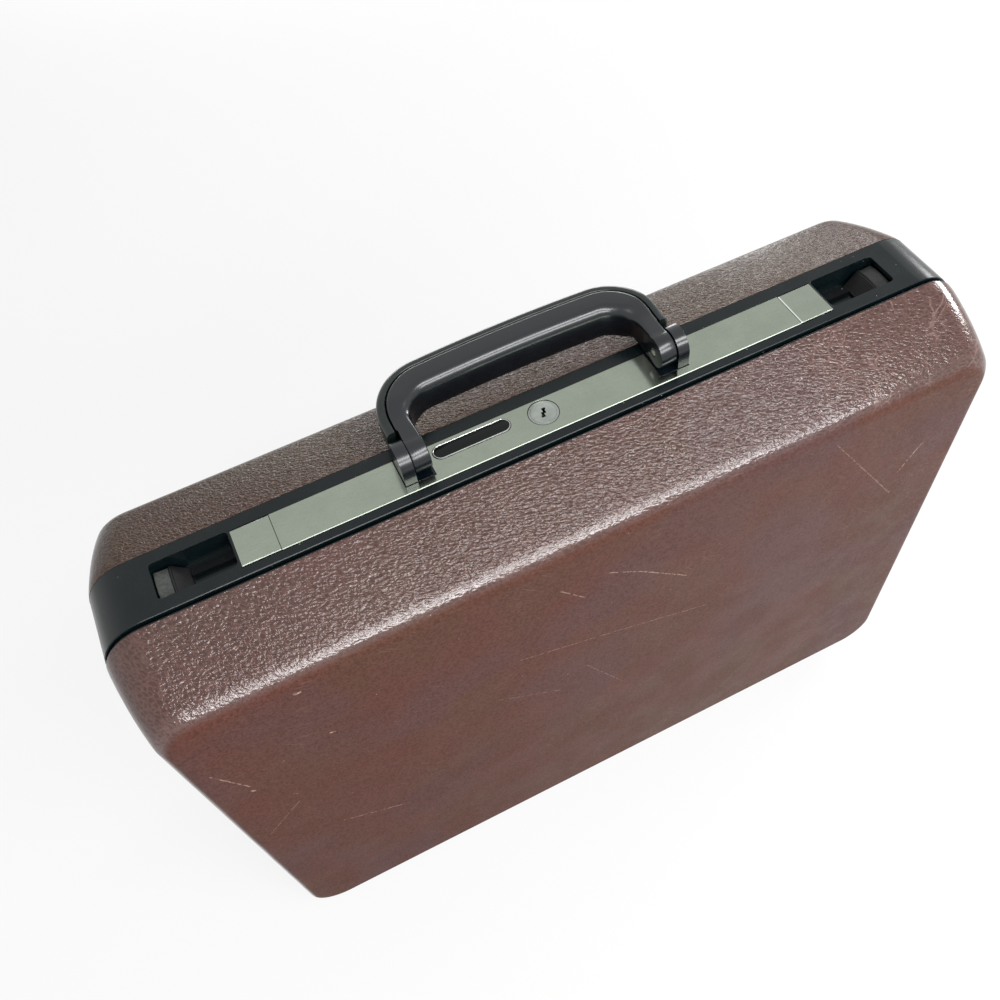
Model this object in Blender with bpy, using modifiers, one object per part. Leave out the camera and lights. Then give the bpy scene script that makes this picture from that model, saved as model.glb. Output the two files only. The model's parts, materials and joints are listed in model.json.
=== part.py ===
"""Hardshell briefcase, standing on its hinge edge with the handle folded back.

Metres. +X runs along the lock rail, +Y points from the lid half to the base half, +Z is up.
The origin is on the ground under the middle of the case.
"""

import math

import bmesh
import bpy
from mathutils import Matrix, Vector

# Driving dimensions of the case
CASE_LENGTH = 0.457
CASE_HEIGHT = 0.3305
CASE_DEPTH = 0.128
FOOT_HEIGHT = 0.0045
CORNER_RADIUS = 0.0243
FACE_CORNER_RADIUS = 0.0185
SHELL_WALL = 0.0026
TOP_DRAFT = math.radians(18.4)
SIDE_DRAFT = math.radians(7.9)
TOP_BULGE = 0.0028
SIDE_BULGE = 0.0029
TOP_EDGE_RADIUS = 0.0073
SIDE_EDGE_RADIUS = 0.0055

# Clearances
SEAT_GAP = 0.0003
RUN_GAP = 0.0004
OVERRUN = 0.004

# Rail round the base half: distances from the middle plane, and the section's walls
BELT_FRONT = 0.0158
BELT_BACK = 0.0180
BELT_WALL = 0.0022
BELT_CHAMFER = 0.0004
FLANGE_REACH = 0.0080
FLANGE_WALL = 0.0017
WEB_THICKNESS = 0.0028
TONGUE_INSET = 0.0056
TONGUE_WALL = 0.0013
TONGUE_REACH = 0.0032
RAIL_DROP = 0.034

# Frame round the lid half
PARTING_GAP = 0.0022
LID_LIP = 0.0007
LID_LIP_INSET = 0.0003
LID_FRAME_REACH = 0.0120
LID_FRAME_WALL = 0.0021

# Linings
LINING_GAP = 0.0005
LINING_WALL = 0.0014
LINING_EDGE_RADIUS = 0.0008

# Lock housing under the rail's top
HOUSING_DEPTH = 0.0155
HOUSING_FRONT = 0.0138
HOUSING_BACK = 0.0165
HOUSING_ROOF = 0.0012
HOUSING_END_WALL = 0.0022
POCKET_HALF_WIDTH = 0.0084
COVER_WALL = 0.0014
COVER_END_MARGIN = 0.0685
COVER_MARGIN = 0.0007
GUIDE_LENGTH = 0.004

# Metal plate and its two hasp ends
PLATE_END_MARGIN = 0.0725
PLATE_HALF_WIDTH = 0.0108
PLATE_THICKNESS = 0.0012
PLATE_PROUD = 0.0005
PLATE_CHAMFER = 0.0004
PLATE_SIDE_GAP = 0.0002
HASP_LENGTH = 0.0189
HASP_BACK_TRIM = 0.0004
HASP_BEAD_RADIUS = 0.0011
HASP_AXIS_BACK = 0.0085
HASP_AXIS_DROP = 0.0010
HASP_BEAD_END = 0.0008

# Thumb recess, button, slide bar, bolt and spring
RECESS_END_MARGIN = 0.0339
RECESS_LIP = 0.0010
RECESS_FRONT = 0.0088
RECESS_BACK = 0.0115
RECESS_DEPTH = 0.0128
RECESS_CORNER = 0.0022
BUTTON_LENGTH = 0.0148
BUTTON_FLAT = 0.0083
BUTTON_TOP_DROP = 0.0026
BUTTON_FOOT_HEIGHT = 0.0012
BUTTON_BACK = 0.0092
BUTTON_TRAVEL = 0.0085
BAR_FRONT = 0.0035
BAR_BACK = 0.0080
BAR_HEIGHT = 0.0022
BAR_TAIL = 0.0095
BOLT_WIDTH = 0.0030
BOLT_REACH = 0.0075
SPRING_LENGTH = 0.0120
SPRING_RADIUS = 0.0019
SPRING_WIRE = 0.0006
SPRING_POST = 0.0012

# Keepers on the lid, and their windows
KEEPER_END_MARGIN = 0.0935
KEEPER_WIDTH = 0.0050
KEEPER_FOOT_DEPTH = 0.0090
KEEPER_ARM_HEIGHT = 0.0030
KEEPER_ARM_DROP = 0.0085
KEEPER_ARM_END = 0.0100
WINDOW_MARGIN = 0.0010
BOLT_GAP = 0.0005

# Lock
LOCK_BACK = 0.0018
LOCK_FACE_RADIUS = 0.0075
LOCK_FACE_THICKNESS = 0.0011
LOCK_FACE_PROUD = 0.0004
LOCK_BODY_RADIUS = 0.0050
LOCK_BODY_LENGTH = 0.0095
KEYWAY_LENGTH = 0.0046
KEYWAY_WIDTH = 0.0009
KEYWAY_DEPTH = 0.0030
BARREL_WALL = 0.0011
CAM_RADIUS = 0.0040
CAM_THICKNESS = 0.0018
ROD_WIDTH = 0.0022
ROD_START = 0.0060
ROD_END_GAP = 0.0250

# Badge
BADGE_PLACE = -0.0368
BADGE_BACK = 0.0042
BADGE_HALF_LENGTH = 0.0200
BADGE_HALF_WIDTH = 0.0041
BADGE_THICKNESS = 0.0013
BADGE_PROUD = 0.0009

# Handle and its brackets
PIVOT_BACK = 0.0025
PIVOT_HEIGHT = 0.0090
EAR_INNER = 0.0690
EAR_THICKNESS = 0.0060
EAR_RADIUS = 0.0090
BRACKET_INNER = 0.0600
BRACKET_DEPTH = 0.0062
BRACKET_PROUD = 0.0003
PIN_RADIUS = 0.0021
PIN_HOLE_GAP = 0.0003
LEG_END_RADIUS = 0.0084
LEG_END_NARROWING = 0.0002
LEG_HALF_THICKNESS = 0.0081
GRIP_HALF_THICKNESS = 0.0105
HANDLE_SEAM = 0.0695
NOTCH_REACH = 0.0106
HANDLE_REACH = 0.0421
HANDLE_CROWN = 0.0012
HANDLE_CORNER = 0.024
LEG_WIDTH = 0.0102
GRIP_WIDTH = 0.0143
STRIP_THICKNESS = 0.0046
STRIP_HALF_WIDTH_TRIM = 0.0007
HANDLE_EDGE_RADIUS = 0.0052
LEG_EDGE_RADIUS = 0.0012
HANDLE_SEAM_EDGE_RADIUS = 0.0022
STRIP_EDGE_RADIUS = 0.0030
STRIP_SEAM_EDGE_RADIUS = 0.0006

# Hinges
HINGE_END_MARGIN = 0.0985
HINGE_LENGTH = 0.044
HINGE_CENTRE_KNUCKLE = 0.0172
HINGE_DROP = 0.0023
HINGE_BARREL_RADIUS = 0.0020
HINGE_PIN_RADIUS = 0.0009
HINGE_LEAF = 0.0006
HINGE_LEAF_HEIGHT = 0.0052

# Feet
FOOT_END_MARGIN = 0.0635
FOOT_SPREAD = 0.040
FOOT_RADIUS = 0.0070
FOOT_CHAMFER = 0.0012

# Stays: two links of one length on each side, pivoted that far from the hinge
STAY_LENGTH = 0.085
STAY_BASE_OFFSET = 0.0150
STAY_LID_OFFSET = 0.0075
STAY_HALF_WIDTH = 0.0055
STAY_LINK_THICKNESS = 0.0015
STAY_PLANE_INSET = 0.0105
STAY_PIN_RADIUS = 0.0020
STAY_MOUNT_HALF_WIDTH = 0.0060
STAY_HEAD = 0.0006

# File pocket in the lid
FILE_POCKET_END_MARGIN = 0.0435
FILE_POCKET_LOW = 0.035
FILE_POCKET_HIGH = 0.215
FILE_POCKET_THICKNESS = 0.0092
FILE_POCKET_WALL = 0.0012

# Screws of the housing cover
SCREW_RADIUS = 0.0011
SCREW_HEAD_RADIUS = 0.0020
SCREW_HEAD_HEIGHT = 0.0010
SCREW_LENGTH = 0.0060
SCREW_INSET = 0.0027

# Mesh resolution
ARC_STEPS = 8
LINING_ARC_STEPS = 4
STRIP_STEPS = 4
BULGE_POWER = 3
CORNER_POWER = 0.53
EDGE_ANGLES = [math.radians(a) for a in (0, 25, 48, 68, 90)]
ROUND_SEGMENTS = 24
SMALL_SEGMENTS = 12
MERGE = 0.00001

# Places worked out from the dimensions above
HALF_LENGTH = CASE_LENGTH / 2
HALF_DEPTH = CASE_DEPTH / 2
LOW_Z = FOOT_HEIGHT
TOP_Z = FOOT_HEIGHT + CASE_HEIGHT
LID_FRAME_REAR = BELT_FRONT + PARTING_GAP
LID_RIM = LID_FRAME_REAR + LID_LIP + SEAT_GAP
BASE_RIM = BELT_BACK + SEAT_GAP
FRAME_INSET = SHELL_WALL + SEAT_GAP / math.cos(TOP_DRAFT)
LINING_OFFSET = SHELL_WALL + LINING_GAP
LINING_FACE = HALF_DEPTH - LINING_OFFSET - LINING_WALL
PLATE_TOP = TOP_Z + PLATE_PROUD
PLATE_LOW = PLATE_TOP - PLATE_THICKNESS
CHANNEL_FLOOR = PLATE_LOW - SEAT_GAP
PLATE_HALF_LENGTH = HALF_LENGTH - PLATE_END_MARGIN
RECESS_END = HALF_LENGTH - RECESS_END_MARGIN
COVER_HALF_LENGTH = HALF_LENGTH - COVER_END_MARGIN
KEEPER_PLACE = HALF_LENGTH - KEEPER_END_MARGIN
ROD_END = KEEPER_PLACE - ROD_END_GAP
HINGE_PLACE = HALF_LENGTH - HINGE_END_MARGIN
FOOT_PLACE = HALF_LENGTH - FOOT_END_MARGIN
FILE_POCKET_HALF_LENGTH = HALF_LENGTH - FILE_POCKET_END_MARGIN
HASP_START = PLATE_HALF_LENGTH - HASP_LENGTH + PLATE_SIDE_GAP
BUTTON_OUTER = RECESS_END - SEAT_GAP
BUTTON_FOOT = BUTTON_OUTER - BUTTON_LENGTH
BUTTON_LOW = TOP_Z - RECESS_DEPTH + SEAT_GAP
POCKET_END = BUTTON_OUTER + BUTTON_TRAVEL + RUN_GAP
BOLT_PLACE = KEEPER_PLACE + KEEPER_WIDTH + BOLT_GAP
BAR_END = BOLT_PLACE - BAR_TAIL
MECHANISM_END = BOLT_PLACE + BOLT_WIDTH + BUTTON_TRAVEL + RUN_GAP
BARREL_RADIUS = LOCK_BODY_RADIUS + SEAT_GAP + BARREL_WALL
HOUSING_END = POCKET_END + HOUSING_END_WALL
HOUSING_LOW = TOP_Z - HOUSING_DEPTH
COVER_TOP = HOUSING_LOW - SEAT_GAP
ROD_TOP = TOP_Z - LOCK_BODY_LENGTH - SEAT_GAP
PIVOT_Z = TOP_Z + PIVOT_HEIGHT
EAR_OUTER = EAR_INNER + EAR_THICKNESS
LEG_END_OUTER = EAR_INNER - SEAT_GAP
HINGE_Y = -(BELT_FRONT + PARTING_GAP / 2)
HINGE_Z = LOW_Z - HINGE_DROP

LEFT, RIGHT = -1, 1
SIDES = {"left": LEFT, "right": RIGHT}


def clear_scene():
    """Remove what the opened file holds."""
    for item in list(bpy.data.objects):
        bpy.data.objects.remove(item, do_unlink=True)


def make_collection(name):
    collection = bpy.data.collections.new(name)
    bpy.context.scene.collection.children.link(collection)
    return collection


def make_finish(name, colour, roughness, metallic=0.0):
    """A plain surface in one colour."""
    finish = bpy.data.materials.new(name)
    finish.use_nodes = True
    shader = finish.node_tree.nodes["Principled BSDF"]
    shader.inputs["Base Color"].default_value = (*colour, 1.0)
    shader.inputs["Roughness"].default_value = roughness
    shader.inputs["Metallic"].default_value = metallic
    finish.diffuse_color = (*colour, 1.0)
    return finish


COLOURS = {
    "brown_shell": ((0.115, 0.045, 0.036), 0.45, 0.0),
    "black_rail": ((0.020, 0.024, 0.025), 0.40, 0.0),
    "satin_plate": ((0.42, 0.44, 0.40), 0.25, 1.0),
    "zinc": ((0.50, 0.51, 0.50), 0.35, 1.0),
    "gloss_black": ((0.012, 0.014, 0.017), 0.18, 0.0),
    "worn_black": ((0.030, 0.031, 0.030), 0.50, 0.0),
    "bright_steel": ((0.55, 0.55, 0.54), 0.25, 1.0),
    "lining_cloth": ((0.20, 0.15, 0.11), 0.90, 0.0),
    "pocket_cloth": ((0.15, 0.10, 0.07), 0.85, 0.0),
    "rubber": ((0.015, 0.015, 0.015), 0.80, 0.0),
    "badge_black": ((0.010, 0.012, 0.012), 0.25, 0.0),
}


def add_piece(name, mesh, finish_name):
    """Put a mesh in the case's collection, with a finish of its own."""
    piece = bpy.data.objects.new(name, mesh)
    PIECES.objects.link(piece)
    colour, roughness, metallic = COLOURS[finish_name]
    mesh.materials.clear()
    mesh.materials.append(make_finish(f"{name}_{finish_name}", colour, roughness, metallic))
    return piece


def add_guide(name, mesh):
    """Put a mesh that cuts or joins another in the guides' collection."""
    guide = bpy.data.objects.new(name, mesh)
    GUIDES.objects.link(guide)
    guide.hide_render = True
    guide.display_type = "WIRE"
    return guide


def combine(piece, operation, meshes):
    """Cut meshes from a piece, or join them to it."""
    for number, mesh in enumerate(meshes):
        guide = add_guide(f"{piece.name}_{operation.lower()}_{number}", mesh)
        boolean = piece.modifiers.new(guide.name, "BOOLEAN")
        boolean.operation = operation
        boolean.solver = "EXACT"
        boolean.object = guide
    return piece


def cut(piece, *meshes):
    return combine(piece, "DIFFERENCE", meshes)


def join(piece, *meshes):
    return combine(piece, "UNION", meshes)


def finish_mesh(bm, name, smooth=False):
    """Point the faces outwards and write the mesh."""
    bmesh.ops.recalc_face_normals(bm, faces=bm.faces)
    mesh = bpy.data.meshes.new(name)
    bm.to_mesh(mesh)
    bm.free()
    if smooth:
        mesh.shade_smooth()
        mesh.set_sharp_from_angle(angle=math.radians(35))
    return mesh


def box(x_span, y_span, z_span):
    """A box between two values on each axis."""
    low = Vector(min(s) for s in (x_span, y_span, z_span))
    high = Vector(max(s) for s in (x_span, y_span, z_span))
    bm = bmesh.new()
    bmesh.ops.create_cube(bm, size=1)
    bmesh.ops.scale(bm, vec=high - low, verts=bm.verts)
    bmesh.ops.translate(bm, vec=(low + high) / 2, verts=bm.verts)
    return finish_mesh(bm, "box")


AXIS_TURNS = {
    "X": Matrix.Rotation(math.pi / 2, 4, "Y"),
    "Y": Matrix.Rotation(-math.pi / 2, 4, "X"),
    "Z": Matrix.Identity(4),
}


def cylinder(axis, centre, radius, length, segments=ROUND_SEGMENTS):
    """A cylinder along an axis, about its centre."""
    bm = bmesh.new()
    bmesh.ops.create_cone(
        bm, cap_ends=True, segments=segments, radius1=radius, radius2=radius, depth=length
    )
    bmesh.ops.transform(bm, matrix=Matrix.Translation(centre) @ AXIS_TURNS[axis], verts=bm.verts)
    return finish_mesh(bm, "cylinder", smooth=True)


def place(axis, span_value, pair):
    """A point whose place along the axis is given, and whose other two values are a pair."""
    if axis == "X":
        return Vector((span_value, pair[0], pair[1]))
    if axis == "Y":
        return Vector((pair[0], span_value, pair[1]))
    return Vector((pair[0], pair[1], span_value))


def prism(axis, outline, span):
    """A flat outline drawn out along an axis."""
    bm = bmesh.new()
    face = bm.faces.new([bm.verts.new(place(axis, span[0], pair)) for pair in outline])
    drawn = bmesh.ops.extrude_face_region(bm, geom=[face])
    moved = [item for item in drawn["geom"] if isinstance(item, bmesh.types.BMVert)]
    bmesh.ops.translate(bm, vec=place(axis, span[1] - span[0], (0, 0)), verts=moved)
    return finish_mesh(bm, "prism")


def loft(rings, loop=False, smooth=True):
    """A skin over rings of equal count: closed on itself, or with a face at each end."""
    bm = bmesh.new()
    rows = [[bm.verts.new(point) for point in ring] for ring in rings]
    following = rows[1:] + rows[:1] if loop else rows[1:]
    for row, after in zip(rows, following):
        for i in range(len(row)):
            j = (i + 1) % len(row)
            bm.faces.new((row[i], row[j], after[j], after[i]))
    if not loop:
        bm.faces.new(rows[0])
        bm.faces.new(rows[-1])
    return finish_mesh(bm, "loft", smooth)


def tube(axis, centre, outer, inner, length, segments=SMALL_SEGMENTS):
    """A straight sleeve along an axis."""
    turn = Matrix.Translation(centre) @ AXIS_TURNS[axis]
    rings = []
    for radius, end in ((outer, -length), (outer, length), (inner, length), (inner, -length)):
        ring = []
        for step in range(segments):
            angle = math.tau * step / segments
            ring.append(turn @ Vector((radius * math.cos(angle), radius * math.sin(angle), end / 2)))
        rings.append(ring)
    return loft(rings, loop=True)


def turned(name, finish_name, profile, centre, segments=ROUND_SEGMENTS):
    """A turned piece: a profile of radius and height, from the top down, with a Screw modifier."""
    bm = bmesh.new()
    verts = [bm.verts.new((radius, 0, height)) for radius, height in profile]
    for first, second in zip(verts, verts[1:]):
        bm.edges.new((first, second))
    mesh = bpy.data.meshes.new(name)
    bm.to_mesh(mesh)
    bm.free()
    piece = add_piece(name, mesh, finish_name)
    piece.location = centre
    screw = piece.modifiers.new("turn", "SCREW")
    screw.axis = "Z"
    screw.steps = segments
    screw.render_steps = segments
    screw.use_merge_vertices = True
    screw.merge_threshold = MERGE
    return piece


def arc(centre, radius, start_turns, steps):
    """A quarter circle, from a number of quarter turns on, in a plane."""
    points = []
    for step in range(steps + 1):
        angle = (start_turns + step / steps) * math.pi / 2
        points.append((centre[0] + radius * math.cos(angle), centre[1] + radius * math.sin(angle)))
    return points


def rounded_rectangle(low, high, radius, steps=ARC_STEPS):
    """An outline with four round corners, between two corners."""
    (x0, y0), (x1, y1) = low, high
    return (
        arc((x1 - radius, y0 + radius), radius, 3, steps)
        + arc((x1 - radius, y1 - radius), radius, 0, steps)
        + arc((x0 + radius, y1 - radius), radius, 1, steps)
        + arc((x0 + radius, y0 + radius), radius, 2, steps)
    )


def move_with(axis_empty, *pieces):
    """Hang pieces on an empty that stands on their joint's axis."""
    for piece in pieces:
        piece.parent = axis_empty
        piece.matrix_parent_inverse = Matrix.Translation(-axis_empty.location)


def joint_empty(name, location, parent=None):
    empty = bpy.data.objects.new(name, None)
    GUIDES.objects.link(empty)
    empty.location = location
    empty.empty_display_size = PIVOT_HEIGHT
    if parent:
        empty.parent = parent
        empty.matrix_parent_inverse = Matrix.Translation(-parent.matrix_world.translation)
    bpy.context.view_layer.update()
    return empty


def edge_inset(depth, reach, draft, bulge, radius, offset):
    """How far a shell's wall lies inside the belt, at a depth from its rim."""
    edge = max(radius - offset, LINING_EDGE_RADIUS)
    into_edge = min(max(depth - (reach - offset - edge), 0), edge)
    rounding = edge - math.sqrt(edge * edge - into_edge * into_edge)
    return offset + depth * math.tan(draft) + bulge * (depth / reach) ** BULGE_POWER + rounding


def side_inset(depth, reach, offset=0.0):
    return edge_inset(depth, reach, SIDE_DRAFT, SIDE_BULGE, SIDE_EDGE_RADIUS, offset)


def top_inset(depth, reach, offset=0.0):
    return edge_inset(depth, reach, TOP_DRAFT, TOP_BULGE, TOP_EDGE_RADIUS, offset)


def corner_radius(depth, reach):
    """The radius of a shell's upright corners, at a depth from its rim."""
    share = (depth / reach) ** CORNER_POWER
    return CORNER_RADIUS + (FACE_CORNER_RADIUS - CORNER_RADIUS) * share


def shell_rings(half, rim, start, offset, steps):
    """Rings of a shell's wall from its start to its face. Half is 1 for the base, -1 for the lid."""
    reach = HALF_DEPTH - rim
    last = reach - offset
    edge = max(TOP_EDGE_RADIUS - offset, LINING_EDGE_RADIUS)
    straight = last - edge
    depths = [start + (straight - start) * step / STRIP_STEPS for step in range(STRIP_STEPS)]
    depths += [straight + edge * math.sin(angle) for angle in EDGE_ANGLES]
    rings = []
    for depth in depths:
        side = side_inset(depth, reach, offset)
        top = top_inset(depth, reach, offset)
        radius = corner_radius(depth, reach) - offset
        outline = rounded_rectangle(
            (-HALF_LENGTH + side, LOW_Z + side), (HALF_LENGTH - side, TOP_Z - top), radius, steps
        )
        rings.append([Vector((x, half * (rim + depth), z)) for x, z in outline])
    return rings


def build_tray(name, finish_name, half, rim, start, offset, wall, steps):
    """A tray with an even wall, open at its start: a shell, or the lining inside it."""
    outer = shell_rings(half, rim, start, offset, steps)
    inner = shell_rings(half, rim, start, offset + wall, steps)
    return add_piece(name, loft(inner[::-1] + outer), finish_name)


def build_shell(name, half, rim):
    return build_tray(name, "brown_shell", half, rim, 0, 0, SHELL_WALL, ARC_STEPS)


def build_lining(name, half, rim, start):
    return build_tray(name, "lining_cloth", half, rim, start, LINING_OFFSET, LINING_WALL, LINING_ARC_STEPS)


def belt_section():
    """The rail's section: place behind the middle plane, inset, and depth into the shell."""
    front, back = -BELT_FRONT, BELT_BACK
    tongue_inner = TONGUE_INSET + TONGUE_WALL
    return [
        (front, BELT_CHAMFER, 0),
        (front + BELT_CHAMFER, 0, 0),
        (back, 0, 0),
        (back, FRAME_INSET, 0),
        (back + FLANGE_REACH, FRAME_INSET, FLANGE_REACH),
        (back + FLANGE_REACH, FRAME_INSET + FLANGE_WALL, FLANGE_REACH),
        (back - BELT_WALL, FRAME_INSET + FLANGE_WALL, 0),
        (back - BELT_WALL, BELT_WALL, 0),
        (front + WEB_THICKNESS, BELT_WALL, 0),
        (front + WEB_THICKNESS, tongue_inner, 0),
        (front - TONGUE_REACH, tongue_inner, 0),
        (front - TONGUE_REACH, TONGUE_INSET, 0),
        (front, TONGUE_INSET, 0),
    ]


def lid_section():
    rear = -LID_FRAME_REAR
    inner = FRAME_INSET + LID_FRAME_WALL
    return [
        (rear, LID_LIP_INSET, 0),
        (rear, inner, 0),
        (rear - LID_FRAME_REACH, inner, LID_FRAME_REACH),
        (rear - LID_FRAME_REACH, FRAME_INSET, LID_FRAME_REACH),
        (rear - LID_LIP, FRAME_INSET, 0),
        (rear - LID_LIP, LID_LIP_INSET, 0),
    ]


def rail_path(inset, depth, part):
    """The outline at an inset: all round, over the top, or round the sides and bottom."""
    reach = HALF_DEPTH - LID_RIM
    side, top = side_inset(depth, reach), top_inset(depth, reach)
    x, low, high = HALF_LENGTH - inset - side, LOW_Z + inset + side, TOP_Z - inset - top
    radius = corner_radius(depth, reach) - inset
    corners = [
        arc((x - radius, low + radius), radius, 3, ARC_STEPS),
        arc((x - radius, high - radius), radius, 0, ARC_STEPS),
        arc((radius - x, high - radius), radius, 1, ARC_STEPS),
        arc((radius - x, low + radius), radius, 2, ARC_STEPS),
    ]
    if part == "all":
        return sum(corners, [])
    if part == "top":
        end = TOP_Z - RAIL_DROP
        return [(x, end)] + corners[1] + corners[2] + [(-x, end)]
    end = TOP_Z - RAIL_DROP - SEAT_GAP
    return [(-x, end)] + corners[3] + corners[0] + [(x, end)]


def swept_frame(section, part):
    """A section carried along the outline."""
    paths = [(y, rail_path(inset, depth, part)) for y, inset, depth in section]
    stations = []
    for k in range(len(paths[0][1])):
        stations.append([Vector((path[k][0], y, path[k][1])) for y, path in paths])
    return loft(stations, loop=part == "all")


def mirrored_span(side, near, far):
    """A span of X on one side of the case."""
    return sorted((side * near, side * far))


def build_lock_housing():
    """The black rail over the top, with the block that holds the locks."""
    housing = add_piece("lock_housing", swept_frame(belt_section(), "top"), "black_rail")
    join(housing, box((-HOUSING_END, HOUSING_END), (-HOUSING_FRONT, HOUSING_BACK),
                      (HOUSING_LOW, TOP_Z - BELT_WALL / 2)))
    above = TOP_Z + OVERRUN
    below = HOUSING_LOW - OVERRUN
    channel = PLATE_HALF_LENGTH + PLATE_SIDE_GAP
    width = PLATE_HALF_WIDTH + PLATE_SIDE_GAP
    recess_start = channel + RECESS_LIP
    relief = HASP_BEAD_RADIUS + RUN_GAP
    heel = PLATE_HALF_WIDTH - HASP_AXIS_BACK
    cuts = [
        box((-channel, channel), (-width, width), (CHANNEL_FLOOR, above)),
        box((-MECHANISM_END, MECHANISM_END), (-POCKET_HALF_WIDTH, POCKET_HALF_WIDTH),
            (below, CHANNEL_FLOOR - HOUSING_ROOF)),
        cylinder("Z", (0, LOCK_BACK, CHANNEL_FLOOR - HOUSING_ROOF / 2), BARREL_RADIUS + SEAT_GAP,
                 2 * HOUSING_ROOF),
    ]
    for side in SIDES.values():
        recess = rounded_rectangle((recess_start, -RECESS_FRONT), (RECESS_END, RECESS_BACK), RECESS_CORNER,
                                   LINING_ARC_STEPS)
        cuts += [
            prism("Z", [(side * x, y) for x, y in recess], (TOP_Z - RECESS_DEPTH, above)),
            box(mirrored_span(side, BUTTON_OUTER - BUTTON_FLAT, POCKET_END),
                (-RECESS_FRONT, BUTTON_BACK + RUN_GAP),
                (TOP_Z - RECESS_DEPTH, TOP_Z - BUTTON_TOP_DROP + SEAT_GAP)),
            box(mirrored_span(side, MECHANISM_END - OVERRUN, recess_start + OVERRUN),
                (BAR_FRONT - RUN_GAP, BAR_BACK + RUN_GAP),
                (TOP_Z - RECESS_DEPTH, BUTTON_LOW + BAR_HEIGHT + RUN_GAP)),
            box(mirrored_span(side, BRACKET_INNER - RUN_GAP, EAR_OUTER + RUN_GAP),
                (PIVOT_BACK - EAR_RADIUS - RUN_GAP, PIVOT_BACK + EAR_RADIUS + RUN_GAP),
                (TOP_Z - BRACKET_DEPTH - SEAT_GAP, above)),
            box(mirrored_span(side, HASP_START, channel),
                (HASP_AXIS_BACK - relief, width), (TOP_Z - HASP_AXIS_DROP - heel - RUN_GAP, above)),
            box(mirrored_span(side, KEEPER_PLACE - WINDOW_MARGIN, KEEPER_PLACE + KEEPER_WIDTH + WINDOW_MARGIN),
                (-BELT_FRONT - TONGUE_REACH - OVERRUN, WINDOW_MARGIN - POCKET_HALF_WIDTH),
                (TOP_Z - KEEPER_ARM_DROP - KEEPER_ARM_HEIGHT - WINDOW_MARGIN,
                 TOP_Z - KEEPER_ARM_DROP + WINDOW_MARGIN)),
        ]
    for x, y in screw_places():
        cuts.append(cylinder("Z", (x, y, HOUSING_LOW), SCREW_RADIUS + SEAT_GAP,
                             2 * SCREW_LENGTH, SMALL_SEGMENTS))
    return cut(housing, *cuts)


def screw_places():
    """Where the cover's screws stand: behind and in front of the mechanism."""
    back = HOUSING_BACK - SCREW_INSET - SCREW_RADIUS
    front = SCREW_INSET - HOUSING_FRONT
    return [
        (-COVER_HALF_LENGTH * 2 / 3, front),
        (COVER_HALF_LENGTH * 2 / 3, front),
        (-COVER_HALF_LENGTH / 4, back),
        (COVER_HALF_LENGTH / 4, back),
    ]


def build_housing_cover():
    """The plate that closes the mechanism from inside, with the rods' guides and the springs' posts."""
    low = COVER_TOP - COVER_WALL
    cover = add_piece(
        "housing_cover",
        box((-COVER_HALF_LENGTH, COVER_HALF_LENGTH),
            (COVER_MARGIN - HOUSING_FRONT, HOUSING_BACK - COVER_MARGIN), (low, COVER_TOP)),
        "worn_black",
    )
    guides = []
    for side in SIDES.values():
        y = rod_centre(side)
        for share in (1 / 4, 3 / 4):
            x = side * (ROD_START + (ROD_END - ROD_START) * share)
            guides.append(box((x - GUIDE_LENGTH / 2, x + GUIDE_LENGTH / 2),
                              (y - ROD_WIDTH / 2, y + ROD_WIDTH / 2),
                              (low + COVER_WALL / 2, ROD_TOP - CAM_THICKNESS - SEAT_GAP)))
        post_end = BAR_END - SEAT_GAP - SPRING_LENGTH - SEAT_GAP
        guides.append(box(mirrored_span(side, post_end - SPRING_POST, post_end),
                          (BAR_FRONT, BAR_BACK - SEAT_GAP), (low + COVER_WALL / 2, BUTTON_LOW + BAR_HEIGHT)))
    join(cover, *guides)
    return cut(cover, *[cylinder("Z", (x, y, COVER_TOP), SCREW_RADIUS + SEAT_GAP, 2 * SCREW_LENGTH,
                                 SMALL_SEGMENTS) for x, y in screw_places()])


def build_screws():
    """The cover's screws, each with its head under the cover."""
    profile = [
        (0, SCREW_LENGTH),
        (SCREW_RADIUS, SCREW_LENGTH),
        (SCREW_RADIUS, 0),
        (SCREW_HEAD_RADIUS, 0),
        (SCREW_HEAD_RADIUS, -SCREW_HEAD_HEIGHT),
        (0, -SCREW_HEAD_HEIGHT),
    ]
    for number, (x, y) in enumerate(screw_places(), start=1):
        turned(f"cover_screw_{number}", "bright_steel", profile,
               (x, y, COVER_TOP - COVER_WALL - SEAT_GAP), SMALL_SEGMENTS)


def plate_section(front, back):
    """The plate's section with its upper edges chamfered."""
    return [
        (-front, PLATE_LOW),
        (back, PLATE_LOW),
        (back, PLATE_TOP - PLATE_CHAMFER),
        (back - PLATE_CHAMFER, PLATE_TOP),
        (PLATE_CHAMFER - front, PLATE_TOP),
        (-front, PLATE_TOP - PLATE_CHAMFER),
    ]


def pill(half_length, half_width, centre, steps=ARC_STEPS):
    """An outline with two round ends."""
    x, y = centre
    straight = half_length - half_width
    return (
        arc((x + straight, y), half_width, 3, steps)
        + arc((x + straight, y), half_width, 0, steps)[1:]
        + arc((x - straight, y), half_width, 1, steps)
        + arc((x - straight, y), half_width, 2, steps)[1:]
    )


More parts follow.
